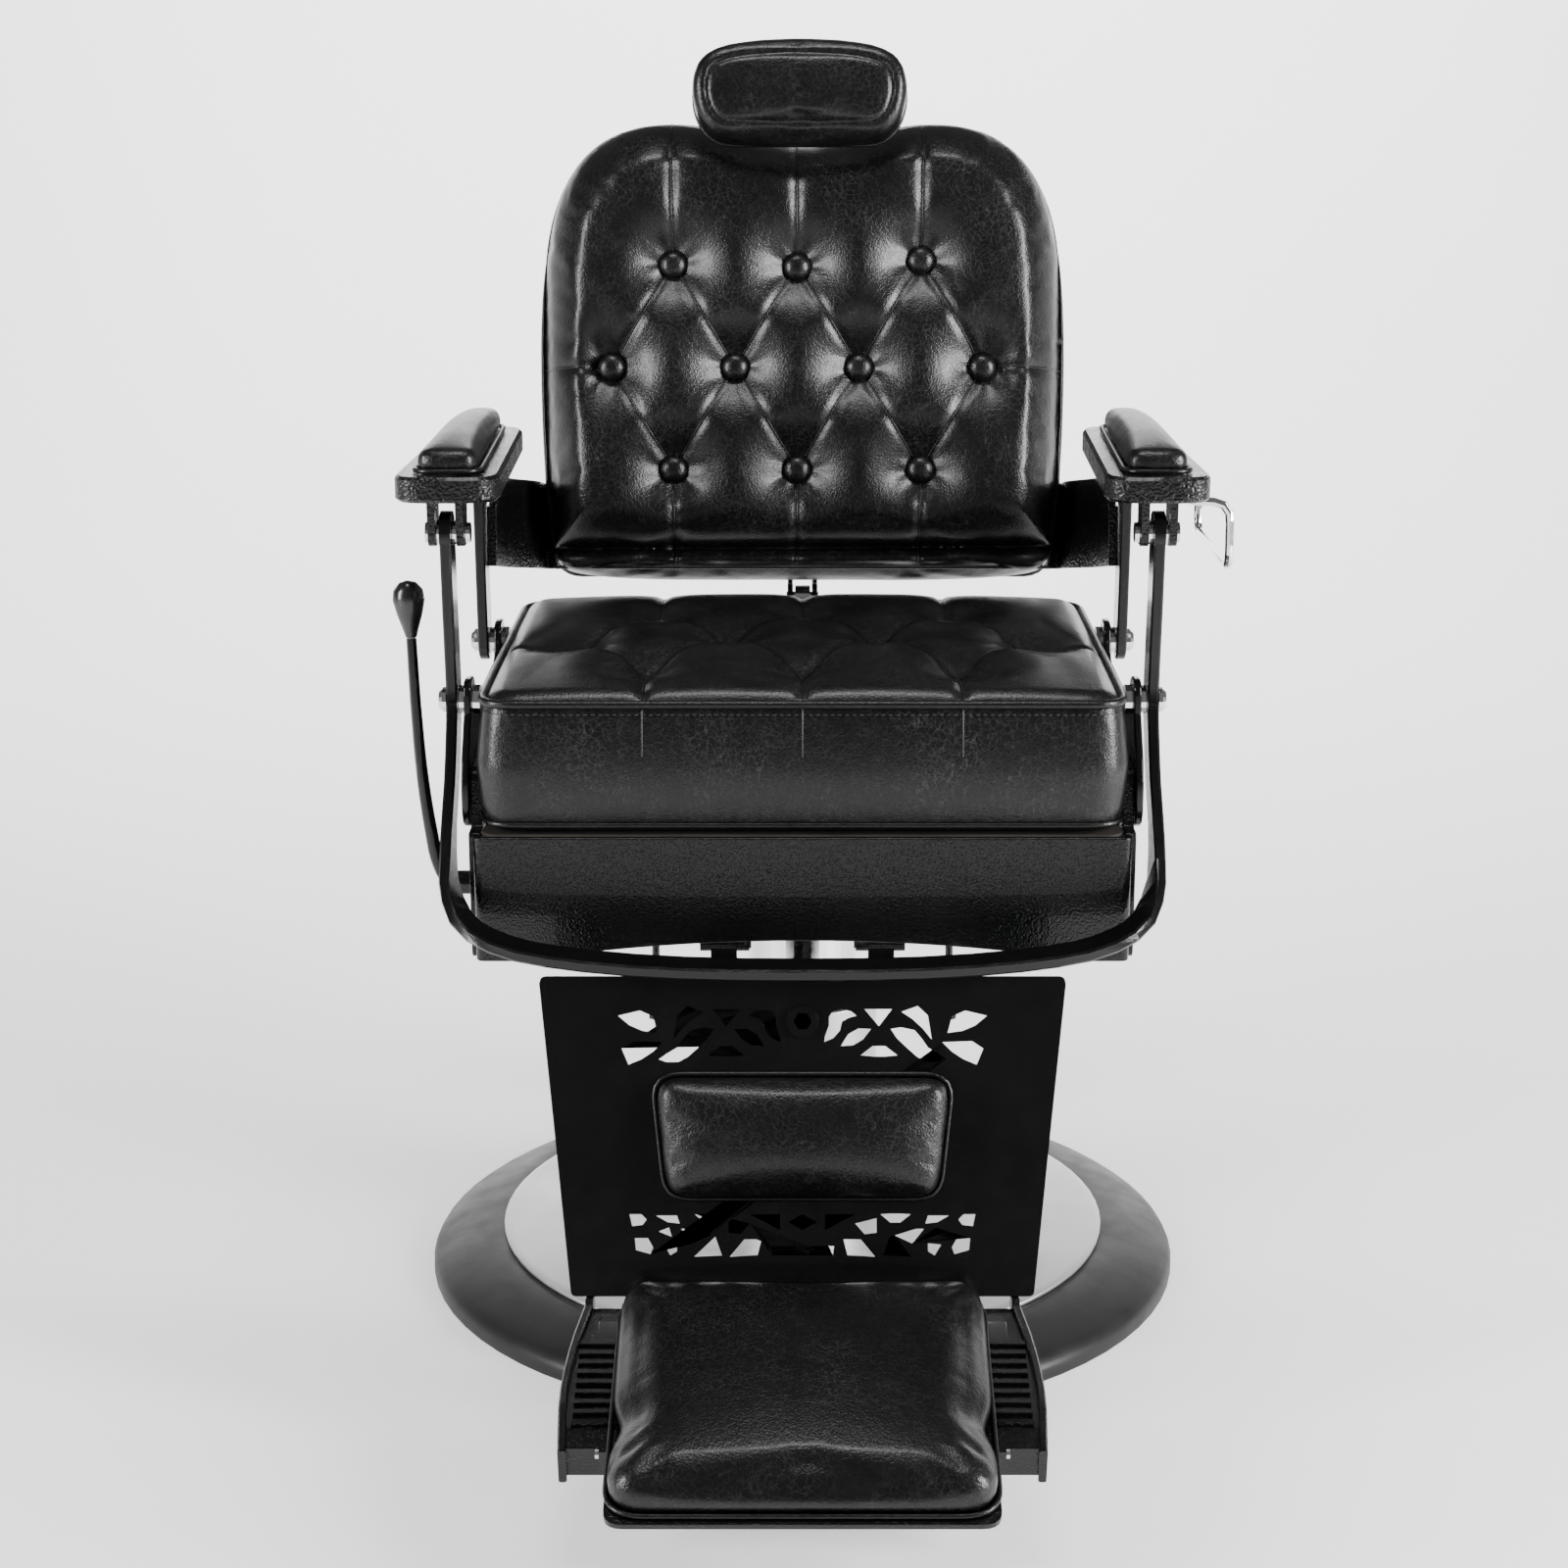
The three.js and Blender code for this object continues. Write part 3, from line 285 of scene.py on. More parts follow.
def thread(name):
    """Waxed sewing thread."""
    s = Shader(name, Specular_IOR_Level=0.4)
    s.bump((s.noise(2600, 2), 0.5, 0.0003))
    colour = s.colours(s.noise(900, 2), (0.3, 0.01), (0.7, 0.035))
    return s.paint(colour, s.span(s.noise(500, 2), 0.3, 0.7, 0.45, 0.6))


LEATHER = leather("mottled_leather")
PLAIN_LEATHER = leather("plain_leather", 0.7)
BUTTON_LEATHER = leather("button_leather", 0.35)
PIPING = leather("piping_leather", 0.3)
HAMMERED = hammered("hammered_enamel", 620, 0.5)
COARSE = hammered("coarse_enamel", 460, 1.0)
SMOOTH = hammered("smooth_enamel", 800, 0.1, rough=0.12)
THREAD = thread("black_thread")
CHROME = chrome("polished_chrome")
BRIGHT = chrome("bright_steel", 0.6, 0.2)

SLOT_MATERIALS = {
    "painted_frame": HAMMERED,
    "painted_base": satin_enamel("satin_enamel"),
    "chrome_steel": CHROME,
    "bright_pin": BRIGHT,
    "black_leather": LEATHER,
    "back_cover": PLAIN_LEATHER,
    "black_rubber": rubber("ribbed_rubber"),
    "knob_plastic": moulded("moulded_knob"),
    "plywood": plywood("plywood"),
    "brushed_cover": turned_steel("brushed_disc", upright=False),
}
NODE_MATERIALS = {
    "column_cover": turned_steel("brushed_tube", upright=True),
    "back_band": COARSE,
    "front_hoop": SMOOTH,
    "leg_panel": SMOOTH,
    "hand_lever": SMOOTH,
    "back_bar_left": SMOOTH,
    "back_bar_right": SMOOTH,
    "ear_plate_left": SMOOTH,
    "ear_plate_right": SMOOTH,
    "arm_board_left": COARSE,
    "arm_board_right": COARSE,
}
# Hard parts shown by a copy with rounded edges, and the width of the rounding in metres.
EASED_EDGES = {
    "front_hoop": 0.0016, "leg_panel": 0.0006, "footrest_frame": 0.0007, "foot_tray": 0.001,
    "arm_board_left": 0.0014, "arm_board_right": 0.0014, "towel_bar": 0.0004, "back_band": 0.0009,
    "back_bar_left": 0.0014, "back_bar_right": 0.0014, "ear_plate_left": 0.001, "ear_plate_right": 0.001,
    "side_rail_left": 0.001, "side_rail_right": 0.001, "front_apron": 0.0014, "rear_rail": 0.0008,
    "headrest_post": 0.0006, "headrest_plate": 0.0006, "headrest_socket": 0.0012, "hand_lever": 0.0006,
    "lever_knob": 0.0006, "base_ring": 0.0008, "base_cover": 0.0008, "column_cover": 0.0006,
    "column_cap": 0.0006, "foot_pedal": 0.001, "pedal_rubber": 0.0012, "back_shell": 0.0016,
    "seat_spider": 0.001, "lock_barrel": 0.0006, "lock_bracket": 0.0008,
}


def dress_frame():
    """Gives every CAD node its material, and stands an eased copy in for those listed."""
    slots = {part["node"]: part["material_slot"] for part in frame["record"]["subparts"]}
    bodies = {node: body for body, nodes in frame["record"]["behaviour"]["bodies"].items() for node in nodes}
    for name, node in frame["nodes"].items():
        material = NODE_MATERIALS.get(name, SLOT_MATERIALS[slots[name]])
        node.data.materials.clear()
        node.data.materials.append(material)
        if name in EASED_EDGES:
            skin = eased(name, node, EASED_EDGES[name])
            place_piece(skin, bodies[name], name)


def eased(name, node, width):
    """A copy of a hard part with its sharp edges rounded and its curves shaded smooth."""
    build = bmesh.new()
    build.from_mesh(node.data)
    bmesh.ops.remove_doubles(build, verts=build.verts, dist=SAME_POINT)
    bmesh.ops.dissolve_limit(build, angle_limit=FLAT_ANGLE, verts=build.verts, edges=build.edges)
    mesh = bpy.data.meshes.new(f"{name}_skin")
    build.to_mesh(mesh)
    build.free()
    skin = bpy.data.objects.new(f"{name}_skin", mesh)
    scene.collection.objects.link(skin)
    mesh.materials.clear()
    mesh.materials.append(node.data.materials[0])
    mesh.shade_smooth()
    bevel = skin.modifiers.new("ease", "BEVEL")
    bevel.width, bevel.segments, bevel.limit_method = width, 3, "ANGLE"
    bevel.angle_limit = SHARP_ANGLE
    bevel.miter_outer = "MITER_ARC"
    weigh = skin.modifiers.new("weigh", "WEIGHTED_NORMAL")
    weigh.keep_sharp = True
    apply_modifiers(skin)
    return skin


# ---------------------------------------------------------------- mesh helpers
def new_object(name, vertices, faces, material):
    mesh = bpy.data.meshes.new(name)
    mesh.from_pydata([tuple(v) for v in vertices], [], faces)
    mesh.validate()
    piece = bpy.data.objects.new(name, mesh)
    scene.collection.objects.link(piece)
    mesh.materials.append(material)
    return piece


def vertex_rows(piece, key="co"):
    """The piece's points, or with key "normal" its normals, one row each."""
    values = np.empty(len(piece.data.vertices) * 3)
    piece.data.vertices.foreach_get(key, values)
    return values.reshape(-1, 3)


def move_points(piece, points):
    piece.data.vertices.foreach_set("co", points.ravel())
    piece.data.update()


def apply_modifiers(piece):
    solved = piece.evaluated_get(bpy.context.evaluated_depsgraph_get())
    mesh = bpy.data.meshes.new_from_object(solved)
    old = piece.data
    piece.modifiers.clear()
    piece.data = mesh
    bpy.data.meshes.remove(old)


def remesh(piece, voxel):
    piece.modifiers.new("remesh", "REMESH").mode = "VOXEL"
    piece.modifiers["remesh"].voxel_size = voxel
    apply_modifiers(piece)


def smooth_mesh(piece, rounds):
    relax = piece.modifiers.new("relax", "SMOOTH")
    relax.factor, relax.iterations = 0.5, rounds
    apply_modifiers(piece)


def subdivide(piece):
    piece.modifiers.new("finer", "SUBSURF").levels = 1
    apply_modifiers(piece)
    piece.data.shade_smooth()


def inflate(piece, pressure, cap, held):
    """Blows the piece up as cloth, no point further than cap. held is 1 where a point stays put."""
    before = vertex_rows(piece)
    cloth = piece.modifiers.new("cloth", "CLOTH")
    settings = cloth.settings
    settings.use_pressure = True
    settings.uniform_pressure_force = pressure
    settings.effector_weights.gravity = 0
    settings.quality = 6
    settings.tension_stiffness = 20
    settings.compression_stiffness = 20
    settings.shear_stiffness = 8
    settings.bending_stiffness = 1.5
    group = piece.vertex_groups.new(name="held")
    for index in np.nonzero(held > 0.02)[0]:
        group.add([int(index)], float(held[index]), "REPLACE")
    settings.vertex_group_mass = "held"
    for step in range(1, CLOTH_FRAMES + 1):
        scene.frame_set(step)
    solved = piece.evaluated_get(bpy.context.evaluated_depsgraph_get())
    after = np.empty(len(before) * 3)
    solved.data.vertices.foreach_get("co", after)
    push = after.reshape(-1, 3) - before
    length = np.linalg.norm(push, axis=1, keepdims=True)
    push *= np.minimum(1, cap / np.maximum(length, 1e-9))
    piece.modifiers.clear()
    scene.frame_set(1)
    move_points(piece, before + push)


def inset(loop, amount):
    """A closed outline moved inwards along its own normals."""
    ahead, behind = np.roll(loop, -1, axis=0), np.roll(loop, 1, axis=0)
    along = ahead - behind
    along /= np.linalg.norm(along, axis=1, keepdims=True)
    return loop + amount * np.column_stack((-along[:, 1], along[:, 0]))


def slab(name, loop, layers, place, material):
    """A closed solid from stacked rings of one outline; layers are (inset, height)."""
    count = len(loop)
    vertices, faces = [], []
    for amount, height in layers:
        ring = inset(loop, amount)
        vertices += [place @ Vector((x, y, height)) for x, y in ring]
    for k in range(len(layers) - 1):
        for i in range(count):
            a, b = k * count + i, k * count + (i + 1) % count
            faces.append((a, b, b + count, a + count))
    faces.append(tuple(reversed(range(count))))
    faces.append(tuple(range((len(layers) - 1) * count, len(layers) * count)))
    return new_object(name, vertices, faces, material)


def rounded_loop(corners):
    """Corners (x, y, radius), counter-clockwise, joined by round corners."""
    loop = []
    for i, (x, y, radius) in enumerate(corners):
        here = np.array((x, y))
        before = np.array(corners[i - 1][:2])
        after = np.array(corners[(i + 1) % len(corners)][:2])
        start = here + radius * (before - here) / np.linalg.norm(before - here)
        end = here + radius * (after - here) / np.linalg.norm(after - here)
        for t in np.linspace(0, 1, CORNER_POINTS):
            loop.append((1 - t) ** 2 * start + 2 * t * (1 - t) * here + t ** 2 * end)
    return even_loop(np.array(loop), LOOP_SPACING)


def even_loop(loop, spacing):
    """A closed outline redrawn with evenly spaced points."""
    closed = np.vstack((loop, loop[:1]))
    steps = np.linalg.norm(np.diff(closed, axis=0), axis=1)
    run = np.concatenate(([0], np.cumsum(steps)))
    count = max(12, int(run[-1] / spacing))
    at = np.linspace(0, run[-1], count, endpoint=False)
    return np.column_stack([np.interp(at, run, closed[:, k]) for k in range(closed.shape[1])])


def bezier_loop(start, *curves):
    """start, then curves of control points; three control points make a cubic, two a quadratic."""
    loop, here = [np.array(start)], np.array(start)
    for controls in curves:
        knots = [here] + [np.array(c) for c in controls]
        degree = len(knots) - 1
        for t in np.linspace(0, 1, CURVE_POINTS + 1)[1:]:
            loop.append(sum(math.comb(degree, k) * (1 - t) ** (degree - k) * t ** k * p
                            for k, p in enumerate(knots)))
        here = knots[-1]
    return even_loop(np.array(loop[:-1]), LOOP_SPACING)


def tube(name, points, radius, material, cyclic=True):
    """A round bead along points."""
    curve = bpy.data.curves.new(name, "CURVE")
    curve.dimensions = "3D"
    curve.bevel_depth = radius
    curve.bevel_resolution = 3
    curve.use_fill_caps = True
    spline = curve.splines.new("POLY")
    spline.points.add(len(points) - 1)
    for knot, point in zip(spline.points, points):
        knot.co = (*point, 1)
    spline.use_cyclic_u = cyclic
    spline.use_smooth = True
    curve.materials.append(material)
    piece = bpy.data.objects.new(name, curve)
    scene.collection.objects.link(piece)
    return piece


def stitches(name, points, length, radius, material):
    """A row of small stitches along a path, every other gap left open."""
    build = bmesh.new()
    for a, b in zip(points[0::2], points[1::2]):
        a, b = Vector(a), Vector(b)
        along = (b - a).normalized()
        turn = along.to_track_quat("Z", "Y").to_matrix().to_4x4()
        spot = Matrix.Translation((a + b) / 2) @ turn @ Matrix.Diagonal((1, 1, length / radius / 2, 1))
        bmesh.ops.create_icosphere(build, subdivisions=1, radius=radius, matrix=spot)
    mesh = bpy.data.meshes.new(name)
    build.to_mesh(mesh)
    build.free()
    mesh.materials.append(material)
    piece = bpy.data.objects.new(name, mesh)
    scene.collection.objects.link(piece)
    piece.data.shade_smooth()
    return piece


def place_piece(piece, body, node=None):
    """Rides the piece on a body, in place of a CAD node when one is given."""
    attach(piece, body)
    if node:
        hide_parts(node)
    return piece


def flattened(place):
    """Two functions that carry rows of points onto the flat drawing at place, and back."""
    def carrier(matrix):
        turn, shift = np.array(matrix.to_3x3()), np.array(matrix.translation)
        return lambda points: points @ turn.T + shift

    return carrier(place.inverted()), carrier(place)


# ---------------------------------------------------------------- tufting
def segment_distance(points, a, b):
    """Distance from each flat point to the stretch from a to b."""
    a, b = np.array(a), np.array(b)
    along = b - a
    t = np.clip(((points - a) @ along) / (along @ along), 0, 1)
    return np.linalg.norm(points - (a + t[:, None] * along), axis=1)


def tuft_depth(points, knots, folds, deep, wide):
    """How far each flat point sinks, as two rows: dimples and valleys, and the crease in each fold.

    deep is a dimple's depth and wide its reach. Depths add as cubes, so that they blend."""
    total = np.zeros(len(points))
    crease = np.zeros(len(points))
    for number, knot in enumerate(knots):
        offset = points - np.array(knot)
        radius = np.linalg.norm(offset, axis=1)
        angle = np.arctan2(offset[:, 1], offset[:, 0])
        gathers = 1 + 0.03 * np.sin(7 * angle + 1.7 * number) * np.exp(-((radius - 0.018) / 0.012) ** 2)
        total += (deep * np.exp(-(radius / wide) ** 1.7) * gathers) ** 3
    for a, b in folds:
        distance = segment_distance(points, a, b)
        valley = 0.2 * deep * np.exp(-(distance / (0.42 * wide)) ** 1.4)
        total += valley ** 3
        crease = np.maximum(crease, np.exp(-(distance / CREASE_WIDTH) ** 2))
    return np.cbrt(total), CREASE_DEPTH * crease


def fold_shade_lines(name, piece, folds, place, body, trim):
    """A thin dark bead along each fold, laid on the cushion's own surface: a real ridge, whose darker leather
    is painted shade of the crease. trim is cut off each end.
    """
    corners = [vertex.co for vertex in piece.data.vertices]
    tree = BVHTree.FromPolygons(corners, [face.vertices for face in piece.data.polygons])
    above = ABOVE_SEAT if place is FLAT else ABOVE_BACK
    down = place.to_3x3() @ Vector((0, 0, -1))
    curve = bpy.data.curves.new(name, "CURVE")
    curve.dimensions, curve.bevel_depth = "3D", FOLD_SHADE_BEAD
    curve.bevel_resolution, curve.use_fill_caps = 2, True
    for (ax, ay), (bx, by) in folds:
        trail = []
        for t in np.linspace(trim, 1 - trim, FOLD_POINTS):
            start = place @ Vector((ax + (bx - ax) * t, ay + (by - ay) * t, above))
            hit = tree.ray_cast(start, down, RAY_LENGTH)[0]
            if hit is not None:
                trail.append(hit)
        if len(trail) > 3:
            spline = curve.splines.new("POLY")
            spline.points.add(len(trail) - 1)
            for knot, point in zip(spline.points, trail):
                knot.co = (*point, 1)
    # the darker piping leather on these beads is painted shade in the creases
    curve.materials.append(PIPING)
    lines = bpy.data.objects.new(name, curve)
    scene.collection.objects.link(lines)
    place_piece(lines, body)


def diamond_folds(rows):
    """Folds between the knots of neighbouring rows that stand half a step apart."""
    folds = []
    for lower, upper in zip(rows[:-1], rows[1:]):
        step = abs(lower[1][0] - lower[0][0])
        folds += [(a, b) for a in lower for b in upper if abs(a[0] - b[0]) < 0.75 * step]
    return folds


# ---------------------------------------------------------------- seat cushion
def seat_cushion():
    """The boxed seat: a tufted top, stuffed sides, piping round both edges and a stitched seam."""
    front_corner, rear_corner = 0.03, 0.034
    crown, dimple, reach = 0.019, 0.016, 0.034
    low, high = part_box("seat_cushion")
    loop = rounded_loop([(low.x, low.y, front_corner), (high.x, low.y, front_corner),
                         (high.x, high.y, rear_corner), (low.x, high.y, rear_corner)])
    seam = high.z - 0.006
    layers = [(0.012, low.z), (0.004, low.z + 0.004), (-0.001, low.z + 0.014), (-0.004, (low.z + seam) / 2),
              (0.0, seam - 0.02), (0.0025, seam - 0.004), (0.005, seam), (0.008, seam + 0.004),
              (0.016, seam + 0.007)]
    cushion = slab("tufted_seat", loop, layers, FLAT, LEATHER)
    remesh(cushion, CUSHION_VOXEL)
    held = held_near(cushion, lambda p: np.minimum(abs(p[:, 2] - seam), abs(p[:, 2] - low.z)), 0.012)
    inflate(cushion, pressure=3.0, cap=0.009, held=held)
    smooth_mesh(cushion, 3)
    subdivide(cushion)

    points = vertex_rows(cushion)
    middle = (low + high) / 2
    across = (points[:, 0] - middle.x) / (high.x - middle.x)
    along = (points[:, 1] - middle.y) / (high.y - middle.y)
    upper = np.clip((points[:, 2] - seam + 0.001) / 0.006, 0, 1)
    dome = np.clip(1 - abs(across) ** 3.2, 0, 1) * np.clip(1 - abs(along) ** 3.2, 0, 1)
    step, rows = 0.124, (-0.17, -0.07, 0.025)
    front = [(k * step, rows[0]) for k in THREE_IN_ROW]
    centre = [(k * step, rows[1]) for k in FOUR_IN_ROW]
    rear = [(k * step, rows[2]) for k in THREE_IN_ROW]
    folds = diamond_folds([front, centre, rear])
    folds += [((x, y), (x, low.y - 0.01)) for x, y in front]
    folds += [((x, y), (x, high.y + 0.01)) for x, y in rear]
    folds += [(centre[0], (low.x, rows[1])), (centre[3], (high.x, rows[1]))]
    sink, crease = tuft_depth(points[:, :2], front + centre + rear, folds, dimple, reach)
    edge = np.clip(np.minimum(1 - abs(across), (1 - abs(along)) * 0.85) * 9, 0.25, 1)
    points[:, 2] += upper * (crown * dome - sink * edge - crease)
    move_points(cushion, points)
    place_piece(cushion, "seat", "seat_cushion")

    # dark beads in the seat's folds: painted shade of the creases
    fold_shade_lines("seat_fold_shade", cushion, folds, FLAT, "seat", trim=0.03)
    for name, height, depth, radius in (("seat_piping", seam, 0.0022, 0.0034),
                                        ("seat_welt", low.z + 0.008, 0.0012, 0.0024)):
        bead = [(x, y, height) for x, y in inset(loop, depth)]
        place_piece(tube(name, bead, radius, PIPING), "seat")
    row = even_loop(np.array([(x, y, seam - 0.0075) for x, y in inset(loop, 0.0005)]), 0.0028)
    stitching = stitches("seat_stitching", row, length=0.0034, radius=0.0005, material=THREAD)
    place_piece(stitching, "seat")


def held_near(piece, distance, reach):
    """A weight per point, 1 at no distance and 0 from reach on."""
    return np.clip(1 - distance(vertex_rows(piece)) / reach, 0, 1)


# ---------------------------------------------------------------- back cushion
def back_loop(shrink=0.0):
    """Outline of the back: square foot, swelling sides, two shoulders and a dip between them."""
    w, h, low = 0.236 - shrink, 0.411 - shrink, shrink
    right = [((w - 0.006, low), (w - 0.005, low + 0.028)), ((w + 0.003, h * 0.4), (w, h * 0.66)),
             ((w - 0.003, h - 0.038), (w - 0.05, h), (0.118, h)),
             ((0.075, h), (0.055, h - 0.018), (0, h - 0.018))]
    left = [((-0.055, h - 0.018), (-0.075, h), (-0.118, h)),
            ((0.05 - w, h), (0.003 - w, h - 0.038), (-w, h * 0.66)),
            ((-w - 0.003, h * 0.4), (0.005 - w, low + 0.028)), ((0.006 - w, low), (0.03 - w, low))]
    return bezier_loop((0.03 - w, low), ((w - 0.03, low),), *right, *left)


def back_cushion():
    """The tufted back with its buttons, dark fold beads that paint the crease shade, rear piping and the welt
    along its foot.
    """
    depth, roll, shoulder = 0.085, 0.012, 0.044
    crown, dimple, reach = 0.012, 0.025, 0.036
    loop = back_loop()
    layers = [(0.006, -depth), (0.001, -depth + 0.004), (0.0, -depth + 0.012), (-0.001, -0.05)]
    for angle in np.linspace(0, math.pi / 2, 8)[:-1]:
        layers.append((roll * (1 - math.cos(angle)), -roll + (roll - 0.004) * math.sin(angle)))
    layers.append((roll + 0.004, -0.004))
    cushion = slab("tufted_back", loop, layers, ON_BACK, LEATHER)
    remesh(cushion, CUSHION_VOXEL)
    to_flat, to_world = flattened(ON_BACK)
    rear = held_near(cushion, lambda p: to_flat(p)[:, 2] + depth, 0.014)
    inflate(cushion, pressure=3.0, cap=0.010, held=rear)
    smooth_mesh(cushion, 2)
    subdivide(cushion)

    flat = to_flat(vertex_rows(cushion))
    facing = vertex_rows(cushion, "normal") @ np.array(ON_BACK.inverted().to_3x3()).T
    round_over(flat, loop, depth, shoulder)
    front = np.clip(facing[:, 2] * 1.6, 0, 1) * np.clip((flat[:, 2] + 0.05) / 0.02, 0, 1)
    step, rows, lean = 0.112, (0.093, 0.185, 0.277), -0.005
    lower = [(lean + k * step, rows[0]) for k in THREE_IN_ROW]
    centre = [(lean + k * step, rows[1]) for k in FOUR_IN_ROW]
    upper = [(lean + k * step, rows[2] + rise) for k, rise in zip(THREE_IN_ROW, (0, -0.002, 0.004))]
    knots = lower + centre + upper
    folds = diamond_folds([lower, centre, upper])
    folds += [((x, y), (x * 0.99, 0.0)) for x, y in lower]
    folds += [((x, y), (x * 1.02, 0.43)) for x, y in upper]
    folds += [(centre[0], (-0.25, rows[1])), (centre[3], (0.25, rows[1]))]
    sink, crease = tuft_depth(flat[:, :2], knots, folds, dimple, reach)
    rim = edge_distance(flat[:, :2], loop)
    border = np.clip(rim / 0.05, 0.12, 1)
    swell = crown * np.sin(np.clip(rim / 0.11, 0, 1) * math.pi / 2)
    flat[:, 2] += front * (swell - sink * border - crease)
    move_points(cushion, to_world(flat))
    place_piece(cushion, "back", "back_cushion")

    # dark beads in the back's folds: painted shade of the creases
    fold_shade_lines("back_fold_shade", cushion, folds, ON_BACK, "back", trim=0.02)
    seam = [ON_BACK @ Vector((x, y, -depth + 0.004)) for x, y in inset(loop, -0.0005)]
    place_piece(tube("back_piping", seam, 0.0032, PIPING), "back")
    welt = [ON_BACK @ Vector((x, 0.0045, z)) for x, z in bottom_welt(0.226, 0.012)]
    place_piece(tube("back_bottom_welt", welt, 0.0016, PIPING, cyclic=False), "back")
    for number, (x, y) in enumerate(knots):
        button(f"back_button_{number + 1}", x, y, crown - dimple + BUTTON_FOOT)


def round_over(flat, loop, depth, radius):
    """Rounds the front edge along the sides and the top, less near the foot; the foot stays square."""
    foot = 0.02
    start = int(np.argmax(loop[:, 0] * (loop[:, 1] > foot)))
    turned = np.roll(loop, -start, axis=0)
    gap = edge_distance(flat[:, :2], turned[turned[:, 1] > foot], closed=False)
    into = np.clip(gap / radius, 0, 1)
    low_end = np.clip(0.7 + flat[:, 1] / 0.15, 0.7, 1)
    drop = radius * low_end * (1 - np.sqrt(1 - (1 - into) ** 2))
    flat[:, 2] = -depth + (flat[:, 2] + depth) * (depth - drop) / depth


def bottom_welt(half, sag):
    """Points (x, out of the back) of the seam along the foot, drawn back at both ends."""
    return [(x, -0.014 - sag * (abs(x) / half) ** 6) for x in np.linspace(-half, half, 60)]


def edge_distance(points, loop, closed=True):
    """Distance from each flat point to an outline."""
    nearest = np.full(len(points), np.inf)
    ahead = np.roll(loop, -1, axis=0) if closed else loop[1:]
    for a, b in zip(loop, ahead):
        along = b - a
        offset = points - a
        t = np.clip((offset @ along) / (along @ along), 0, 1)
        gap = offset - t[:, None] * along
        nearest = np.minimum(nearest, np.einsum("ij,ij->i", gap, gap))
    return np.sqrt(nearest)


def button(name, x, y, out):
    """A covered button at x, y on the back: a low dome over a rolled rim, turned from its profile."""
    profile = [(0.0, 0.0072), (0.0045, 0.0069), (0.0085, 0.0054), (0.0115, 0.0028), (0.0126, 0.0002),
               (0.0122, -0.0022), (0.0098, -0.0038), (0.0, -0.0042)]
    vertices, faces = [], []
    sides = 28
    for radius, height in profile[1:-1]:
        for i in range(sides):
            turn = 2 * math.pi * i / sides
            spot = Vector((x + radius * math.cos(turn), y + radius * math.sin(turn), out + height))
            vertices.append(ON_BACK @ spot)
    rings = len(profile) - 2
    for k in range(rings - 1):
        for i in range(sides):
            a, b = k * sides + i, k * sides + (i + 1) % sides
            faces.append((a, a + sides, b + sides, b))
    top, foot = len(vertices), len(vertices) + 1
    vertices += [ON_BACK @ Vector((x, y, out + height)) for _, height in (profile[0], profile[-1])]
    last = (rings - 1) * sides
    for i in range(sides):
        faces.append((top, i, (i + 1) % sides))
        faces.append((foot, last + (i + 1) % sides, last + i))
    piece = new_object(name, vertices, faces, BUTTON_LEATHER)
    subdivide(piece)
    place_piece(piece, "back")


# ---------------------------------------------------------------- small pads
def pillow(name, node, body, loop, low, high, place, *, roll, cap, crown, pressure=4.0, voxel=0.004,
           shape=None):
    """A stuffed pad on a flat base: rolled top edge, swollen as cloth, then crowned.

    shape(flat, rise) may move the flat points further; rise is 0 at the base and 1 at the top."""
    layers = [(roll * 0.35, low), (roll * 0.1, low + 0.002), (0.0, low + 0.006)]
    for angle in np.linspace(0, math.pi / 2, 7):
        layers.append((roll * (1 - math.cos(angle)), high - roll + roll * math.sin(angle)))
    pad = slab(name, loop, layers, place, PLAIN_LEATHER)
    remesh(pad, voxel)
    to_flat, to_world = flattened(place)
    held = held_near(pad, lambda p: to_flat(p)[:, 2] - low, 0.009)
    inflate(pad, pressure, cap, held)
    smooth_mesh(pad, 2)
    subdivide(pad)
    flat = to_flat(vertex_rows(pad))
    rise = np.clip((flat[:, 2] - low) / (high - low), 0, 1) ** 2
    middle, half = (loop.max(0) + loop.min(0)) / 2, np.ptp(loop, axis=0) / 2
    away = np.clip(abs(flat[:, :2] - middle) / half, 0, 1)
    flat[:, 2] += crown * rise * (1 - away[:, 0] ** 2.4) * (1 - away[:, 1] ** 2.4)
    if shape:
        shape(flat, rise)
    flat[:, 2] = np.maximum(flat[:, 2], low)
    move_points(pad, to_world(flat))
    place_piece(pad, body, node)


def bead_on(name, body, loop, amount, height, place, radius):
    """Piping along an outline moved inwards by amount, at a height over its plane."""
    points = [place @ Vector((x, y, height)) for x, y in inset(loop, amount)]
    place_piece(tube(name, points, radius, PIPING), body)


